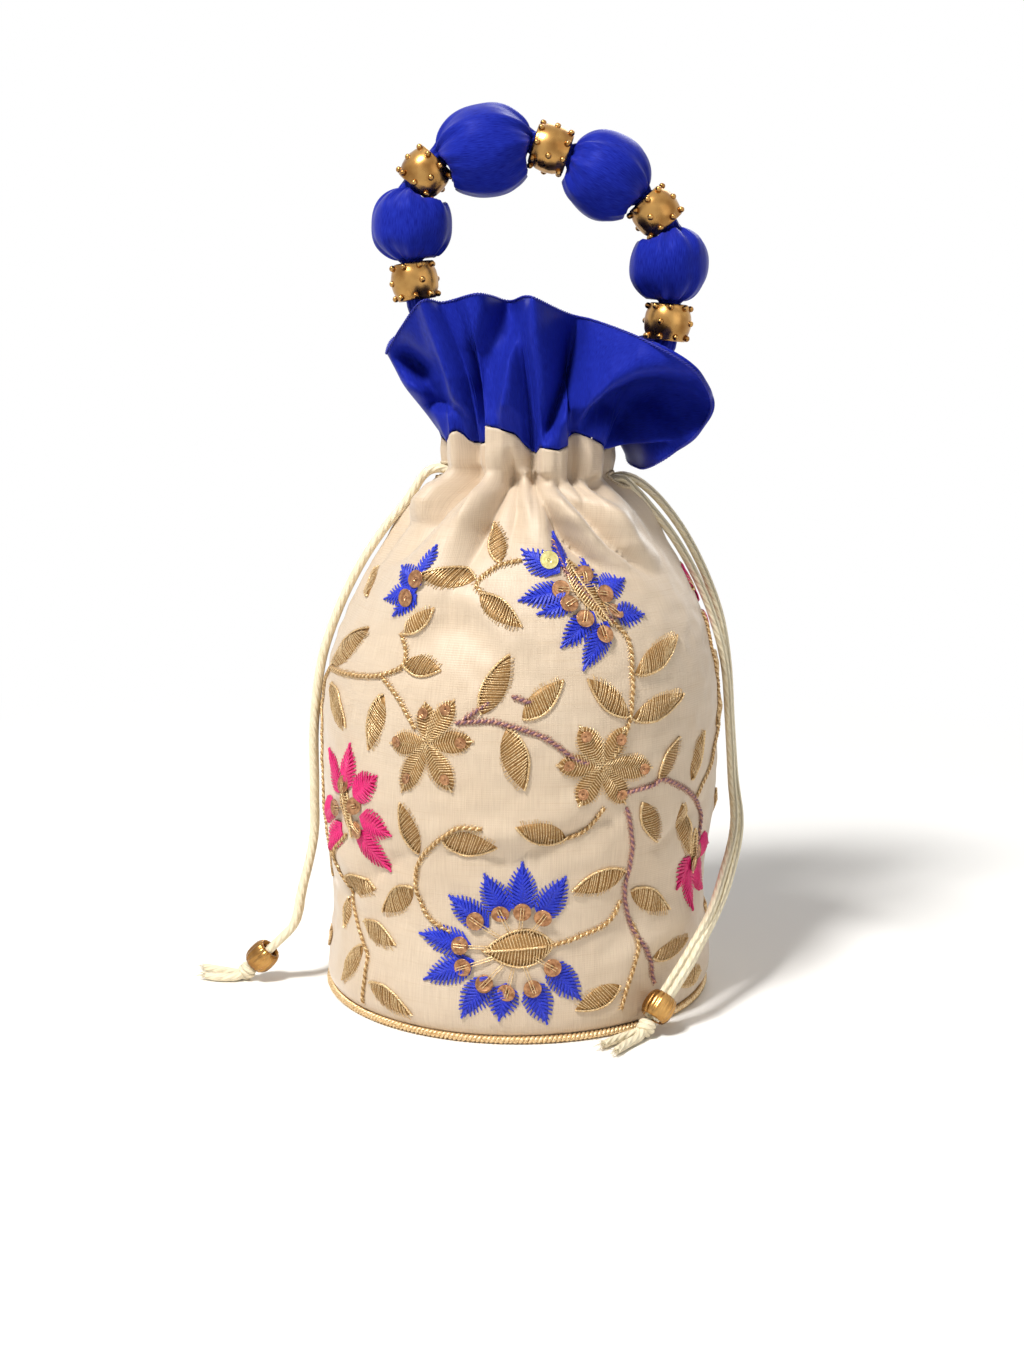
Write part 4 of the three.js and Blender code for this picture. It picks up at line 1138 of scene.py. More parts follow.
def makeRing(link, number, stud):
    centre = (link["start"] + link["end"]) / 2
    axis = link["axis"]
    across = np.array([0, 1, 0])
    third = np.cross(axis, across)
    turn, spokes = roundSpokes(across, third, ringShape["segments"])
    profile = ringShape["profile"] + ringShape["profile"][:1]
    rings = []
    for radius, along in profile:
        seam = 0.18 * np.exp(-((turn - 4.4) / 0.05) ** 2) if radius > 6.5 else 0 * turn
        worn = 0.07 * np.sin(3 * turn + number) + 0.05 * np.sin(7 * turn + 2 * along)
        rings.append(centre + axis * along + spokes * (radius + (worn if radius > 5 else 0) - seam)[:, None])
    grid = np.stack(rings)
    body = addPiece("barrelRing%d" % number, grid.reshape(-1, 3), gridFaces(*grid.shape[:2]))
    faceOutwards(body)
    places, ways = [], []
    for along, offset, radius, count in ringShape["studRows"]:
        for k in range(count):
            a = 2 * math.pi * (k + offset) / count
            way = math.cos(a) * across + math.sin(a) * third
            places.append(centre + axis * along + way * radius)
            ways.append(way)
    studs = pathPiece("ringStuds%d" % number, [np.array([p]) for p in places], [np.array([w]) for w in ways])
    grow(studs, settingTree, {"Part": stud, "Material": antiqueGold})
    finishPiece(body, antiqueGold, "ring_%d" % number, ["handle_ring_%d" % number])
    finishPiece(studs, antiqueGold, "ring_%d" % number)


stud = makeBall("studPart", 2, ringShape["studRadius"])
for number, link in enumerate(ringLinks, 1):
    makeRing(link, number, stud)
print("rings made")


# Drawcords: satin cord, two strands a side, threaded through a bead and knotted

cords = {
    "sides": 14,
    "apart": 1.65,             # from the bead's axis to each of its two strands
    "casingRadius": 18.0,
    "casingSides": 10,
    "straightFrom": (27, 15),  # how far above the bead a strand starts to straighten, and over what length
    "left": {
        "bead": (-91.5, -8, 9.2), "axis": (-0.7, 0.1, -0.7), "beside": (0.141, 0.99, 0),
        "strands": {
            "Front": [(-23, -1.8, 182.7), (-28, -1.9, 183.2), (-32.4, -2, 180.8), (-38, -2, 172.4),
                      (-47, -2, 161.3), (-55.4, -2, 148.5), (-63, -1.9, 133), (-69, -1.8, 115), (-72, -1.8, 92),
                      (-72.4, -1.8, 68), (-73.5, -2.8, 48)],
            "Back": [(-23, 1.8, 182.7), (-28, 1.9, 183.2), (-32.4, 2, 180.8), (-38, 2, 172.4), (-47, 2, 161.3),
                     (-55.4, 2, 148.5), (-63, 1.9, 133), (-69, 1.8, 115), (-72, 1.8, 92), (-72.4, 1.8, 68),
                     (-73.5, 0.8, 48)],
        },
    },
    "right": {
        "bead": (47, -58, 9.2), "axis": (-0.55, -0.45, -0.7), "beside": (0.633, -0.774, 0),
        "strands": {
            "Inner": [(31, -1.8, 179.3), (36.5, -1.9, 179.6), (41, -1.9, 175.6), (46, -1.9, 170),
                      (54, -1.9, 160), (61.5, -1.9, 147.5), (68, -1.9, 133), (73, -1.8, 115),
                      (75, -1.8, 94), (76.3, -3, 74),
                      (76.5, -11, 58), (71, -25, 44), (65, -36.8, 33)],
            "Outer": [(31, 1.8, 179.3), (37, 1.9, 180.5), (43.5, 2.2, 177.6), (51, 2.4, 170.5),
                      (59, 2.4, 159.5), (66, 2.2, 146), (71.5, 1.9, 131), (74.5, 1.8, 114),
                      (76, 1.8, 94), (77.6, 0.4, 74),
                      (78.8, -8, 58), (74.2, -22, 44), (67.8, -34, 33)],
        },
    },
}


def openCurve(points, steps):
    # smooth curve through the points, with its ends doubled
    points = np.asarray(points, float)
    padded = np.vstack([2 * points[0] - points[1], points, 2 * points[-1] - points[-2]])
    rows = []
    for k in range(len(points) - 1):
        a, b, c, d = padded[k:k + 4]
        t = np.linspace(0, 1, steps, endpoint=False)[:, None]
        rows.append(smoothCurve(a, b, c, d, t))
    return np.vstack(rows + [points[-1:]])


def sweep(name, path, radius, sides):
    # a round tube along a path, its section kept from turning, with uv along and round it
    ways = unit(np.gradient(path, axis=0))
    side = unit(np.cross(ways[0], [0.3, 0.2, 1.0]))
    frames = []
    for way in ways:
        side = unit(side - way * (side @ way))
        frames.append((side, np.cross(way, side)))
    turn = 2 * np.pi * np.arange(sides) / sides
    radius = np.broadcast_to(radius, len(path))
    grid = np.stack([
        p + r * (np.cos(turn)[:, None] * a + np.sin(turn)[:, None] * b)
        for p, r, (a, b) in zip(path, radius, frames)
    ])
    run = runAlong(path)
    run = run[:, None]
    uv = np.stack(np.broadcast_arrays(turn[None] * cordRadius * mm + run * 0.5 * mm, run * mm), -1)
    faces = [list(f) for f in gridFaces(len(path), sides)]
    faces += [list(range(sides))[::-1], [(len(path) - 1) * sides + k for k in range(sides)]]
    return addPiece(name, grid.reshape(-1, 3), faces, uv=uv.reshape(-1, 2)), run[-1, 0]


def straightened(path, bead, axis, aside):
    # the strand runs straight, beside the axis, where the bead slides on it
    along = (path - bead) @ axis
    share = np.clip((along + cords["straightFrom"][0]) / cords["straightFrom"][1], 0, 1)[:, None]
    share = share ** 2 * (3 - 2 * share)
    line = bead + axis * along[:, None]
    return line + (path - line) * (1 - share) + aside * share


def makeCords():
    for sideName, side in (("left", -1), ("right", 1)):
        cord = cords[sideName]
        height = cordHeights[side]
        bead = np.array(cord["bead"])
        axis = unit(np.array(cord["axis"]))
        beside = unit(np.array(cord["beside"]))
        for (strandName, run), sign in zip(cord["strands"].items(), (-1, 1)):
            aside = beside * sign * cords["apart"]
            ends = [bead + axis * along + aside for along in (-14, -5, 4.6)]
            path = straightened(openCurve(list(map(np.array, run)) + ends, 9), bead, axis, aside)
            piece, length = sweep("%sCord%s" % (sideName, strandName), path, cordRadius, cords["sides"])
            faceOutwards(piece)
            finishPiece(piece, creamSatinCord, "bag", ["%s_drawcord" % sideName])
        azimuth = side * (90 - 32 - np.linspace(0, 296, 60))
        ring = placeAt(azimuth, cords["casingRadius"], 0 * azimuth + height)
        ring[:, 0] += bag["neckLean"] - leanAt(np.array(height))
        entry = [(bag["neckLean"] + side * across, aside, height)
                 for across, aside in ((24, -1.9), (18.6, -2.3), (18.6, 2.3), (24, 1.9))]
        path = np.vstack([entry[:2], ring, entry[2:]])
        piece = sweep("%sCasingTurn" % sideName, path, cordRadius, cords["casingSides"])[0]
        faceOutwards(piece)
        finishPiece(piece, creamSatinCord, "bag")


makeCords()
print("cords made")


# End beads and knots

endBead = {
    "bore": 3.5,
    "radius": 5.3,
    "rimDrop": 1.3,
    "halfLength": 4.4,
    "ribs": 14,
    "ribDepth": 0.32,
    "segments": 112,
}


def endAxes(cord):
    # a bead's own axis and the two ways across it
    axis = unit(np.array(cord["axis"]))
    across = unit(np.cross(axis, [0.0, 0.0, 1.0]))
    return axis, across, np.cross(axis, across)


def makeEndBead(sideName):
    cord = cords[sideName]
    axis, across, third = endAxes(cord)
    turn, spokes = roundSpokes(across, third, endBead["segments"])
    bore, half = endBead["bore"], endBead["halfLength"]
    outside = [(endBead["radius"] - endBead["rimDrop"] * abs(s) ** 3, s * half) for s in np.linspace(-1, 1, 15)]
    profile = [(bore, -half), *outside, (bore, half), (bore, 0), (bore, -half)]
    ribs = endBead["ribDepth"] * (np.abs(np.cos(endBead["ribs"] * turn / 2)) - 1)
    centre = np.array(cord["bead"])
    grid = np.stack([
        centre + axis * along + spokes * (r + ribs * (r > bore + 0.2))[:, None] for r, along in profile
    ])
    piece = addPiece("%sEndBead" % sideName, grid.reshape(-1, 3), gridFaces(*grid.shape[:2]))
    faceOutwards(piece)
    finishPiece(piece, antiqueGold, "%s_bead" % sideName, ["%s_end_bead" % sideName])


knots = {
    "radius": 3.3,
    "wraps": 2.6,
    "wrapRadius": 1.25,
    "wrapLength": 4.2,
    "coreRadius": 2.6,
    "sides": 12,
    "fibres": 26,
    "tails": {
        "left": [
            [(-101, -5, 1.9), (-107, -2, 1.7), (-114, 1.5, 1.7)],
            [(-101, -9, 1.9), (-107, -9, 1.7), (-112, -7.5, 1.7)],
        ],
        "right": [
            [(38.5, -63, 1.9), (33, -67, 1.7), (28, -72, 1.7)],
            [(40, -66, 1.9), (36, -71, 1.7), (32, -77, 1.7)],
        ],
    },
}


def makeKnot(sideName):
    # the strands wrapped round themselves, with two cut tails that fray
    cord = cords[sideName]
    axis, across, third = endAxes(cord)
    centre = np.array(cord["bead"]) + axis * (endBead["halfLength"] + knots["radius"] + 0.35)
    t = np.linspace(0, 1, 90)
    angle = 2 * np.pi * knots["wraps"] * t
    bulge = 2.0 * np.sqrt(np.maximum(1 - (1.7 * (t - 0.5)) ** 2, 0.1))
    wrap = centre + axis * ((t - 0.5) * knots["wrapLength"])[:, None]
    wrap = wrap + (bulge * np.cos(angle))[:, None] * across + (bulge * np.sin(angle))[:, None] * third
    pieces = [sweep("%sKnotWrap" % sideName, wrap, knots["wrapRadius"], knots["sides"])[0]]
    for number, tail in enumerate(knots["tails"][sideName]):
        path = openCurve([centre, *map(np.array, tail)], 10)
        radius = cordRadius - 0.25 * np.linspace(0, 1, len(path)) ** 4
        pieces.append(sweep("%sTail%d" % (sideName, number), path, radius, knots["sides"])[0])
    pieces.append(makeBall("%sKnotCore" % sideName, 3, knots["coreRadius"], centre))
    for piece in pieces:
        finishPiece(piece, creamSatinCord, "bag")
    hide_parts("%s_knot" % sideName)


for sideName in ("left", "right"):
    makeEndBead(sideName)
    makeKnot(sideName)
print("cord ends made")


# Embroidery. Places are (azimuth in degrees from the front, height in millimetres).

embroidery = {
    "lift": 0.3,
    "toothPitch": 1.15,     # spacing of the teeth along a petal's edge
    "petalThread": 0.27,
    "leafPitch": 0.9,
    "ribThread": 0.2,
    "ribSlant": 0.16,
    "ribBeyond": 0.95,      # how far the ribs' ends pass the outline on its open side
    "repeatTurn": 180,      # the pattern comes again on the back,
    "repeatReach": 76,      # but for motifs that start further round than this
    "bluePetals": [
        [(-8, 39.5), (-19.5, 49), 4.5], [(-3.5, 42.5), (-9.5, 57), 4.6], [(1, 43.5), (1, 61), 4.7],
        [(6, 42), (13, 56), 4.6], [(-13, 33.5), (-28.5, 35), 4.4], [(-12, 28.5), (-26, 20.5), 4.4],
        [(-8, 23.5), (-15, 9.5), 4.5], [(-3, 21.5), (-5, 9), 4.5], [(3.5, 22), (8, 7.5), 4.5],
        [(8.5, 27.5), (17.5, 14.5), 4.5], [(12, 153), (-2, 160), 4.6], [(20, 148), (24, 156), 4.0],
        [(25, 147), (37, 150), 4.0], [(29, 140), (40, 139), 3.8], [(26, 138), (17, 124), 3.6],
        [(22, 141), (11, 131), 4.0], [(16, 144), (4, 141), 2.4], [(14, 148), (-2, 145), 4.2],
        [(14, 154), (11, 165), 1.8], [(-35, 149), (-48, 153.5), 3.8], [(-36, 148), (-50, 143), 3.6],
        [(-36, 146), (-44, 138.5), 2.8], [(-37, 152), (-34.5, 161), 1.7],
    ],
    "pinkPetals": [
        [(-61, 76), (-70, 89), 4.2], [(-57, 78), (-56, 94), 4.6], [(-53, 77), (-43, 86), 4.8],
        [(-50, 71), (-38, 67), 4.6], [(-52, 66), (-40, 54), 4.6], [(-63, 71), (-76, 65), 4.2],
        [(-60, 66), (-67, 55), 4.2], [(58, 55), (52, 45), 4.2], [(59, 52), (61, 35), 4.6],
        [(62, 52), (74, 38), 4.4], [(62, 57), (76, 54), 4.2], [(86, 138), (97, 143), 3.4],
        [(87, 133), (94, 126), 3.4], [(85, 141), (86, 150), 2.8],
    ],
    "goldPetals": [
        [(-26, 100), (-27.5, 112.5), 4.0], [(-26, 100), (-19, 114), 4.0], [(-26, 100), (-13, 101.5), 4.2],
        [(-26, 100), (-18.5, 85), 4.3], [(-26, 100), (-33.5, 83), 4.3], [(-26, 100), (-38, 98), 4.2],
        [(22, 93), (15.5, 106), 4.3], [(22, 93), (28.5, 104.5), 4.2], [(22, 93), (38, 90), 4.5],
        [(22, 93), (9.5, 94), 4.3], [(22, 93), (15.5, 80.5), 4.4], [(22, 93), (29.5, 79.5), 4.4],
    ],
    "goldLeaves": [
        [(-10, 156), (-17, 168), 3.2], [(-18, 151), (-37, 152), 4.0], [(-15, 147), (-1, 137), 3.4],
        [(-39, 133), (-30, 142), 3.2], [(-76, 117), (-56, 133), 4.6], [(-37, 124), (-24, 123), 3.6],
        [(-73, 111), (-59, 99), 4.4], [(-43, 113), (-47, 94), 4.4], [(-11, 110), (-4, 129), 4.2],
        [(0, 109), (11, 121), 4.0], [(-4, 106), (1, 86), 4.6], [(33, 121), (53, 131), 4.2],
        [(30, 108), (18, 121), 3.8], [(31, 107), (52, 112), 4.0], [(41, 85), (50, 98), 3.4],
        [(56, 82), (64, 97), 3.2], [(-29, 62), (-34, 79), 3.6], [(-21, 68), (-6, 67), 4.6],
        [(13, 69), (-1, 74), 4.2], [(-31, 50), (-43, 39), 4.2], [(-62, 45), (-46, 46), 3.8],
        [(-63, 38), (-64, 27), 3.0], [(-52, 33), (-37, 29), 3.6], [(-51, 25), (-60, 10), 3.4],
        [(-46, 14), (-30, 7), 3.6], [(31, 56), (15, 51), 4.2], [(33, 49), (48, 39), 4.0],
        [(41, 24), (58, 26), 3.4], [(30, 17), (16, 11), 3.8], [(35, 79), (42, 64), 3.8],
        [(51, 75), (57, 56), 4.0], [(52, 12), (67, 11), 3.4], [(78, 120), (92, 112), 4.0],
        [(76, 96), (90, 104), 3.8], [(80, 70), (94, 62), 4.0], [(-84, 92), (-96, 104), 4.0],
        [(-82, 40), (-94, 50), 3.8], [(80, 30), (93, 22), 3.8], [(-80, 20), (-92, 12), 3.6],
        [(82, 142), (92, 150), 2.8], [(-66, 142), (-78, 150), 3.0],
    ],
    "goldCentres": [
        [(10, 33.5), (-9.5, 31.5), 6.4], [(15, 157), (27, 137), 3.6], [(-60, 82), (-54, 63), 2.8],
        [(60, 64), (61, 48), 2.2],
    ],
    "goldVines": [
        [(-77, 116), (-57, 117), (-45, 119), (-37, 123), (-37, 128), (-40, 133)],
        [(-45, 119), (-37, 113), (-30, 104)],
        [(28, 138), (32, 132), (32, 121), (31, 111), (29, 103), (25, 95)],
        [(-2, 157), (-11, 155), (-17, 150), (-14, 147)],
        [(-57, 63), (-63, 56), (-65, 49), (-58, 36), (-52, 27), (-48, 21), (-49, 6)],
        [(-19, 37), (-26, 41), (-30, 50), (-29, 59), (-24, 66), (-20, 70), (-16, 73), (-10, 73)],
        [(13, 69), (19, 72), (23, 79)],
        [(30, 46), (26, 39), (16, 35), (9, 33)],
        [(34, 38), (35.5, 31), (34, 22), (30, 9)],
        [(-77, 62), (-70, 53), (-64, 49)],
        [(-77, 116), (-86, 104), (-86, 84), (-80, 66), (-77, 62)],
        [(59, 75), (70, 84), (78, 96), (80, 110), (78, 122), (82, 134)],
    ],
    "roseVines": [
        [(-18, 107), (-10, 108), (-4, 107), (6, 103), (14, 96), (18, 94)],
        [(-16, 108), (-9, 114)],
        [(-3, 116), (2, 114)],
        [(29, 83), (38, 84), (43, 85), (52, 80), (59, 75)],
        [(30, 78), (32, 67), (32, 58), (31, 49), (34, 36), (40, 24), (42, 15)],
        [(59, 75), (64, 68), (62, 58)],
        [(10, 163), (14, 154), (20, 147), (25, 141), (28, 138)],
    ],
    "sequins": [
        (21, 152), (27, 146), (29, 140.5), (24, 134), (18.5, 139), (11.5, 148), (14, 143.5), (-37, 150.5),
        (-39.5, 144.5), (-12, 41.5), (-5, 44.5), (1, 45), (7, 43), (-16, 33), (-15, 26), (-9, 21), (-3, 18.5),
        (4, 19.5), (9.5, 26), (-52, 74), (-58, 80), (-51, 66), (60, 52), (-62, 71), (62, 56),
    ],
    "smallSequins": [
        (-35.5, 99), (-16, 101), (-31.5, 87.5), (-20, 89), (-27.5, 109), (-21, 111), (16.5, 84), (28, 83),
        (35, 90), (27, 101), (12.5, 94), (17, 103),
    ],
    "sequinStems": [  # from a flower's middle, the sequins that a pair of gold threads runs out to
        [(0, 32.5), [(-12, 41.5), (-5, 44.5), (1, 45), (7, 43), (-16, 33), (-15, 26), (-9, 21), (-3, 18.5),
                     (4, 19.5), (9.5, 26)]],
        [(21, 147), [(21, 152), (27, 146), (29, 140.5), (24, 134), (18.5, 139), (11.5, 148), (14, 143.5)]],
        [(-57, 72), [(-52, 74), (-58, 80), (-51, 66), (-62, 71)]],
    ],
    "paleSequins": [(8, 157)],
    "stemSpread": 0.45,
}


def motifPoints(base, tip, along, across):
    # places along and across a motif that runs from its base to its tip, on the cloth
    middle = (base[1] + tip[1]) / 2
    slope = float(roundRadius(np.array(middle + 1.0)) - roundRadius(np.array(middle - 1.0))) / 2
    perDegree = math.radians(1) * float(roundRadius(np.array(middle)))
    stretch = math.hypot(1, slope)
    way = np.array([(tip[0] - base[0]) * perDegree, (tip[1] - base[1]) * stretch])
    length = np.linalg.norm(way)
    way = way / length
    flat = along[..., None] * length * way + across[..., None] * np.array([-way[1], way[0]])
    return base[0] + flat[..., 0] / perDegree, base[1] + flat[..., 1] / stretch, length


def motifLength(base, tip):
    return motifPoints(base, tip, np.array(0.5), np.array(0.0))[2]


def leafWidth(s, roundEnd=False):
    # share of the half width at a share of the length, for a leaf or for a petal with a round end
    s = np.clip(s, 0, 1)
    if roundEnd:
        return np.sin(np.pi * s ** 1.25) ** 0.62
    return np.sin(np.pi * s ** 0.92) ** 0.85 * (1.08 - 0.25 * s)


def motifCopies(motifs):
    # each motif with its number, in its own place and again on the back
    for number, (base, tip, half) in enumerate(motifs):
        for turn in (0, embroidery["repeatTurn"]):
            if not turn or abs(base[0]) <= embroidery["repeatReach"]:
                yield number, (base[0] + turn, base[1]), (tip[0] + turn, tip[1]), half


def addThreads(paths, ways, *places):
    # threads that run through places on the cloth, each given as azimuths, heights and a lift
    laid = [onCloth(*place) for place in places]
    paths += list(np.stack([place for place, _ in laid], 1))
    ways += list(np.stack([way for _, way in laid], 1))


def satinStitches(motifs, pitch, rng, roundEnd=False, beyond=0.0, slant=0.2, fan=1):
    # threads from a motif's rib out to its edge, both sides; a fan of them meets in each tooth of a petal
    lift = embroidery["lift"]
    paths, ways = [], []
    for _, base, tip, half in motifCopies(motifs):
        count = max(int(motifLength(base, tip) / pitch), 5)
        s = (np.arange(count) + 0.5) / count
        for side in (-1, 1):
            outer = np.clip(s + slant * (0.8 + 0.4 * s), 0, 1.03)
            past = beyond * np.clip((1.05 - outer) * 6, 0.15, 1)
            reach = half * leafWidth(outer, roundEnd) + past
            reach = np.maximum(reach * rng.uniform(0.94, 1.05, count), 0.25)
            for blade in range(fan):
                start = (blade - (fan - 1) / 2) / fan / count + rng.uniform(-0.1, 0.1, count) / count
                inner = motifPoints(base, tip, np.clip(s + start, 0, 1), np.full(count, -side * 0.15))
                end = motifPoints(base, tip, outer + 0.25 * start, side * reach)
                addThreads(paths, ways, (*inner[:2], lift + 0.2), (*end[:2], lift - 0.05))
    return paths, ways


def motifPlates(name, motifs, material, replaced=(), roundEnd=False, share=0.92, height=0.35, rows=15,
                columns=7):
    # a low padded ground under each motif, which follows the cloth
    points, faces = [], []
    along, aside = np.meshgrid(np.linspace(0.02, 1, rows), np.linspace(-1, 1, columns), indexing="ij")
    lift = 0.05 + height * (1 - aside ** 2) * np.sin(np.pi * np.clip(along, 0.02, 0.98)) ** 0.5
    quads = gridFaces(rows, columns, wrap=False)
    under = rows * columns
    rim = [*range(columns), *range(2 * columns - 1, under, columns),
           *range(under - 2, under - columns - 1, -1), *range(under - 2 * columns, 0, -columns)]
    walls = np.array([[a, b, b + under, a + under] for a, b in zip(rim, rim[1:] + rim[:1])])
    for _, base, tip, half in motifCopies(motifs):
        width = half * share * leafWidth(along, roundEnd)
        azimuth, z, _ = motifPoints(base, tip, along, aside * width)
        start = len(points) * under
        points += [onCloth(azimuth, z, over)[0].reshape(-1, 3) for over in (lift, 0.02)]
        upper = quads + start
        lower = upper[:, ::-1] + under
        faces += upper.tolist() + lower.tolist() + (walls + start).tolist()
    piece = addPiece(name, np.concatenate(points), faces)
    faceOutwards(piece)
    return finishPiece(piece, material, "bag", replaced)


def layThreads(name, threads, material, slot, radius, arch, steps, taper=0.0, sides=4):
    piece = pathPiece(name, *threads)
    grow(piece, stitchTree, {
        "Thread Radius": radius * mm, "Arch": arch * mm, "Steps": steps, "Sides": sides, "Taper": taper,
        "Material": material})
    return finishPiece(piece, material, "bag")


def addStitches(name, motifs, material, slot, pitch, radius, arch, taper=0.0, **how):
    stitches = satinStitches(motifs, pitch, np.random.default_rng(len(name)), **how)
    return layThreads(name, stitches, material, slot, radius, arch, steps=4, taper=taper)


def leafRibs(motifs, pitch):
    # ribs that slant right across a leaf and pass its outline on one side
    lift, slant = embroidery["lift"], embroidery["ribSlant"]
    rng = np.random.default_rng(3)
    paths, ways = [], []
    for number, base, tip, half in motifCopies(motifs):
        side = 1 if number % 2 else -1
        count = max(int(motifLength(base, tip) * 0.86 / pitch), 5)
        s = 0.08 + 0.84 * (np.arange(count) + 0.5) / count + rng.uniform(-0.2, 0.2, count) / count
        reach = half * leafWidth(s)
        past = embroidery["ribBeyond"] * rng.uniform(0.6, 1.3, count)
        a = motifPoints(base, tip, s - slant / 2, -side * reach * 0.92)
        b = motifPoints(base, tip, s + slant / 2, side * (reach * 0.9 + past))
        middle = ((a[0] + b[0]) / 2, (a[1] + b[1]) / 2, lift + 0.3)
        addThreads(paths, ways, (*a[:2], lift + 0.25), middle, (*b[:2], lift - 0.1))
    return paths, ways


def motifLines(motifs, s, across, lift):
    # one line over each motif; across says how far aside it runs, from the motif's number and half width
    paths = []
    for number, base, tip, half in motifCopies(motifs):
        azimuth, z, _ = motifPoints(base, tip, s, across(number, half))
        paths.append(onCloth(azimuth, z, lift)[0])
    return paths


def leafSpines(motifs):
    # the thick smooth edge of each leaf, from its base to its tip
    s = np.linspace(0, 1, 24)
    sides = (1, -1)
    return motifLines(motifs, s, lambda number, half: sides[number % 2] * half * 0.97 * leafWidth(s), 0.45)


def centreLines(motifs):
    # the outline of each flower's centre and the rib along its middle
    there = np.linspace(0, 1, 22)
    s = np.concatenate([there, there[::-1][1:]])
    side = np.concatenate([np.ones(22), -np.ones(21)])
    outlines = motifLines(motifs, s, lambda number, half: side * half * leafWidth(s), 0.35)
    middle = np.linspace(0.12, 1, 20)
    return outlines + motifLines(motifs, middle, lambda number, half: 0 * middle, 0.95)


def sequinStems(stems):
    # a pair of threads from a flower's middle out over each sequin
    paths, ways = [], []
    for middle, places in stems:
        for place in places:
            for turn in (0, embroidery["repeatTurn"]):
                ends = (middle[0] + turn, middle[1]), (place[0] + turn, place[1])
                for side in (-1, 1):
                    aside = np.array([side * embroidery["stemSpread"]])
                    near, far = (motifPoints(*ends, np.array([share]), aside) for share in (0.45, 1.12))
                    addThreads(paths, ways, (*near[:2], 0.6), (*far[:2], 1.25))
    return paths, ways


def vineLines(vines):
    for vine in vines:
        for turn in (0, embroidery["repeatTurn"]):
            yield openCurve([(a + turn, z, 0.0) for a, z in vine], 12)


def addVines(name, vines, materials):
    # a pale and a dark strand twisted together
    paths = [onCloth(line[:, 0], line[:, 1], 0.42)[0] for line in vineLines(vines)]
    return [addRope(name + tone, paths, material, "vine", tree=strandTree, phase=phase)
            for tone, material, phase in zip(("Light", "Dark"), materials, (0.0, 0.5))]


def vineStitches(vines):
    # short slanting stitches that hold the vine down on both sides
    rng = np.random.default_rng(4)
    paths, ways = [], []
    for line in vineLines(vines):
        run = runAlong(onCloth(line[:, 0], line[:, 1])[0])
        at = np.arange(0.6, run[-1], 1.1)
        azimuth, z = (np.interp(at, run, line[:, k]) for k in (0, 1))
        perDegree = np.radians(1) * roundRadius(z)
        onward, upward = (np.interp(at + 0.5, run, line[:, k]) - np.interp(at - 0.5, run, line[:, k])
                          for k in (0, 1))
        flat = unit(np.stack([onward * perDegree, upward], -1))
        for side in (-1, 1):
            reach = rng.uniform(0.9, 1.5, len(at))[:, None]
            end = flat * 0.9 + side * reach * np.stack([-flat[:, 1], flat[:, 0]], -1)
            addThreads(paths, ways, (azimuth, z, 0.6), (azimuth + end[:, 0] / perDegree, z + end[:, 1], 0.15))
    return paths, ways


sequin = {
    "corners": 24,
    "knotRadius": 0.5,
    "profile": [  # distance from the middle, height
        (0.45, 0.35), (1.3, 0.3), (2.2, 0.42), (2.9, 0.66), (3.0, 0.58), (2.2, 0.27), (1.3, 0.14), (0.45, 0.18),
    ],
}


def makeSequinPart(size):
    # a thin cupped disc with a hole, and the knot of thread that holds it
    def work(made):
        count = sequin["corners"]
        turns = [2 * math.pi * k / count for k in range(count)]
        rings = [
            [made.verts.new((r * size * math.cos(a) * mm, r * size * math.sin(a) * mm, z * mm)) for a in turns]
            for r, z in sequin["profile"]
        ]
        for ring, after in zip(rings, rings[1:] + rings[:1]):
            for j in range(count):
                k = (j + 1) % count
                made.faces.new((ring[j], ring[k], after[k], after[j]))
        bmesh.ops.create_icosphere(made, subdivisions=1, radius=sequin["knotRadius"] * size * mm)
        bmesh.ops.recalc_face_normals(made, faces=made.faces)

    return reworkMesh(addPiece("sequinPart", [(0, 0, 0)], []), work, fresh=True)


def addSequins(name, places, material, part):
    copies = [(a + turn, z) for a, z in places for turn in (0, embroidery["repeatTurn"])]
    points, ways = onCloth(*np.array(copies).T, 0.75)
    rng = np.random.default_rng(9)
    ways = unit(ways + rng.normal(scale=0.13, size=ways.shape))
    piece = pathPiece(name, [p[None] for p in points], [w[None] for w in ways])
    grow(piece, settingTree, {"Part": part, "Material": material})
    return finishPiece(piece, material, "bag")


def makeSlotStitching():
    # thread sewn round the two slots that the cords come out of
    turn = np.linspace(0, 2 * np.pi, 40, endpoint=False)
    squared = [np.sign(wave) * np.abs(wave) ** 0.5 for wave in (np.cos(turn), np.sin(turn))]
    paths = []
    for side, height in cordHeights.items():
        azimuth = 90 * side + (sideCloth["slotHalfAngle"] + 0.5) * squared[0]
        z = height + (sideCloth["slotHalfHeight"] + 0.35) * squared[1]
        paths.append(onCloth(azimuth, z, 0.1)[0])
    return addRope("slotStitching", paths, ivoryThread, "slotEdge", closed=True)


def makeFray():
    # loose fibres at the cut ends of the cords' tails
    rng = np.random.default_rng(6)
    for sideName, tails in knots["tails"].items():
        paths = []
        for tail in tails:
            end = np.array(tail[-1])
            way = unit(end - np.array(tail[-2]))
            for _ in range(knots["fibres"]):
                root = end - 0.8 * way + rng.normal(scale=0.5, size=3)
                tip = root + way * rng.uniform(1.8, 3.4) + rng.normal(scale=0.7, size=3)
                fibre = np.stack([root, tip])
                fibre[:, 2] = np.maximum(fibre[:, 2], 0.25)
                paths.append(fibre)
        upward = [np.tile([0.0, 0.0, 1.0], (2, 1))] * len(paths)
        layThreads("%sTailFray" % sideName, (paths, upward), creamFibre, "cord_satin", radius=0.14, arch=0.2,
                   steps=4, taper=0.4, sides=3)


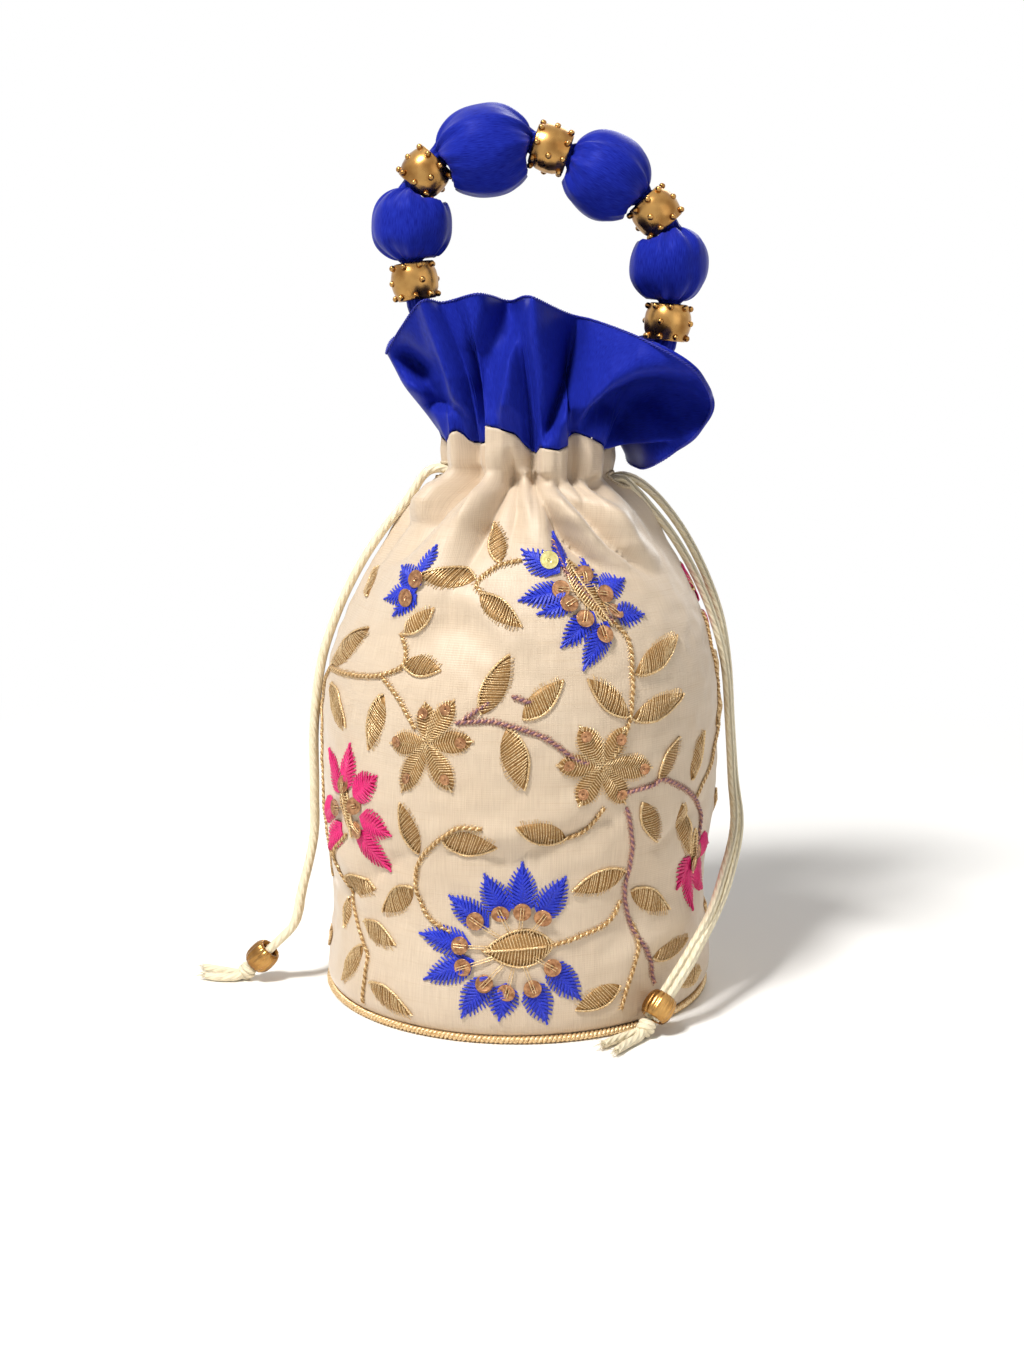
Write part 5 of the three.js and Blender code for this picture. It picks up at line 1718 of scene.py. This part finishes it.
def makeEmbroidery():
    e = embroidery
    gold = "gold_thread"
    leaves, centres = e["goldLeaves"], e["goldCentres"]
    fine = {"radius": 0.15, "arch": 0.15, "steps": 3, "taper": 0.3}
    part, small = makeSequinPart(1.0), makeSequinPart(0.62)
    sewn = [makeSlotStitching()]
    for colour, material in (("blue", blueThread), ("pink", pinkThread)):
        sides = ("upper", "lower") if colour == "blue" else ("left", "right")
        petals, slot = e[colour + "Petals"], colour + "_thread"
        sewn += [
            motifPlates(colour + "PetalGround", petals, material,
                        ["%s_flower_%s" % (colour, side) for side in sides], share=0.72, height=0.3),
            addStitches(colour + "PetalStitches", petals, material, slot, pitch=e["toothPitch"],
                        radius=e["petalThread"], arch=0.35, taper=0.35, fan=3, beyond=0.7),
        ]
    sewn += [
        motifPlates("goldPetalGround", e["goldPetals"], zariGround,
                    ["gold_flower_left", "gold_flower_right"], roundEnd=True, share=0.85),
        addStitches("goldPetalStitches", e["goldPetals"], zariThread, gold, pitch=0.85, radius=0.19, arch=0.45,
                    taper=0.3, roundEnd=True, beyond=0.3, slant=0.12),
        motifPlates("goldLeafGround", leaves, zariGround, height=0.25, share=0.95, rows=13, columns=5),
        layThreads("goldLeafRibs", leafRibs(leaves, e["leafPitch"]), zariThread, gold, radius=e["ribThread"],
                   arch=0.3, steps=5, taper=0.25, sides=3),
        addRope("goldLeafSpines", leafSpines(leaves), zariThread, "leafEdge"),
        *addVines("goldVine", e["goldVines"], (zariThread, zariGround)),
        *addVines("roseVine", e["roseVines"], (roseZari, mauveThread)),
        layThreads("goldVineStitches", vineStitches(e["goldVines"]), zariThread, gold, **fine),
        layThreads("roseVineStitches", vineStitches(e["roseVines"]), roseZari, gold, **fine),
        addSequins("copperSequins", e["sequins"], sequinGold, part),
        addSequins("paleSequins", e["paleSequins"], paleSequin, part),
        addSequins("tipSequins", e["smallSequins"], sequinGold, small),
        layThreads("sequinStems", sequinStems(e["sequinStems"]), zariThread, gold, radius=0.18, arch=0.6,
                   steps=6),
        motifPlates("flowerCentreGround", centres, zariGround, height=0.75),
        addStitches("flowerCentreRibs", centres, zariThread, gold, pitch=0.95, radius=0.2, arch=0.7, slant=0.05),
        addRope("flowerCentreEdges", centreLines(centres), zariThread, "leafEdge"),
    ]
    for piece in (part, small):
        bpy.data.objects.remove(piece)


makeFray()
makeEmbroidery()
bpy.data.objects.remove(stud)
print("embroidery made")


# Stage: a pale floor with soft studio light

stage = {
    "floorSize": 8.0,
    "floorColour": "#f6f4f0",
    "shadowReach": (0.18, 0.6),  # metres from the bag over which the floor goes over to plain white
    "worldStrength": 0.25,
    "lamps": {
        "keyLight": [(-0.62, -0.72, 1.55), 0.32, 36.0],
        "fillLight": [(1.1, -1.1, 0.6), 1.1, 2.8],
        "rimLight": [(0.4, 1.2, 1.2), 0.8, 7.0],
    },
}


def seenOrMirrored(tree):
    # 1 where the camera sees a place directly, in metal or through glass
    seen, mirrored, through = (addNode(tree, "ShaderNodeLightPath").outputs["Is %s Ray" % kind]
                               for kind in ("Camera", "Glossy", "Transmission"))
    return addMath(tree, "MAXIMUM", addMath(tree, "MAXIMUM", seen, mirrored), through)


def makeStage():
    bpy.ops.mesh.primitive_plane_add(size=stage["floorSize"], location=(0, 0, 0))
    floor = bpy.context.object
    floor.name = "studioFloor"
    paper, tree, shader = newMaterial("paleFloorPaper", {
        "Roughness": 0.8, "Base Color": linear(stage["floorColour"])})
    where = addNode(tree, "ShaderNodeTexCoord").outputs["Object"]
    far = addNode(tree, "ShaderNodeVectorMath", {"operation": "LENGTH"}, {0: where}).outputs["Value"]
    near, gone = stage["shadowReach"]
    fade = addNode(tree, "ShaderNodeMapRange", {
        "interpolation_type": "SMOOTHSTEP", "From Min": near, "From Max": gone}, {"Value": far})
    share = addMath(tree, "MULTIPLY", fade.outputs[0], seenOrMirrored(tree))
    white = addNode(tree, "ShaderNodeEmission", {"Color": (1, 1, 1, 1), "Strength": 1.0})
    both = addNode(tree, "ShaderNodeMixShader", links={0: share, 1: shader.outputs[0], 2: white.outputs[0]})
    tree.links.new(both.outputs[0], tree.nodes["Material Output"].inputs["Surface"])
    floor.data.materials.append(paper)
    world = bpy.data.worlds.new("softStudio")
    scene.world = world
    world.use_nodes = True
    sky = world.node_tree
    soft = sky.nodes["Background"]
    soft.inputs[0].default_value = linear("#f4f2ee")
    soft.inputs[1].default_value = stage["worldStrength"]
    plain = addNode(sky, "ShaderNodeBackground", {"Color": (1, 1, 1, 1), "Strength": 1.0})
    mixed = addNode(sky, "ShaderNodeMixShader", links={
        0: seenOrMirrored(sky), 1: soft.outputs[0], 2: plain.outputs[0]})
    sky.links.new(mixed.outputs[0], sky.nodes["World Output"].inputs["Surface"])
    for name, (place, size, power) in stage["lamps"].items():
        lamp = bpy.data.lights.new(name, "AREA")
        lamp.size = size
        lamp.energy = power
        holder = bpy.data.objects.new(name, lamp)
        holder.location = place
        holder.rotation_euler = (Vector((0, 0, 0.13)) - Vector(place)).to_track_quat("-Z", "Y").to_euler()
        scene.collection.objects.link(holder)


makeStage()
print("stage made")
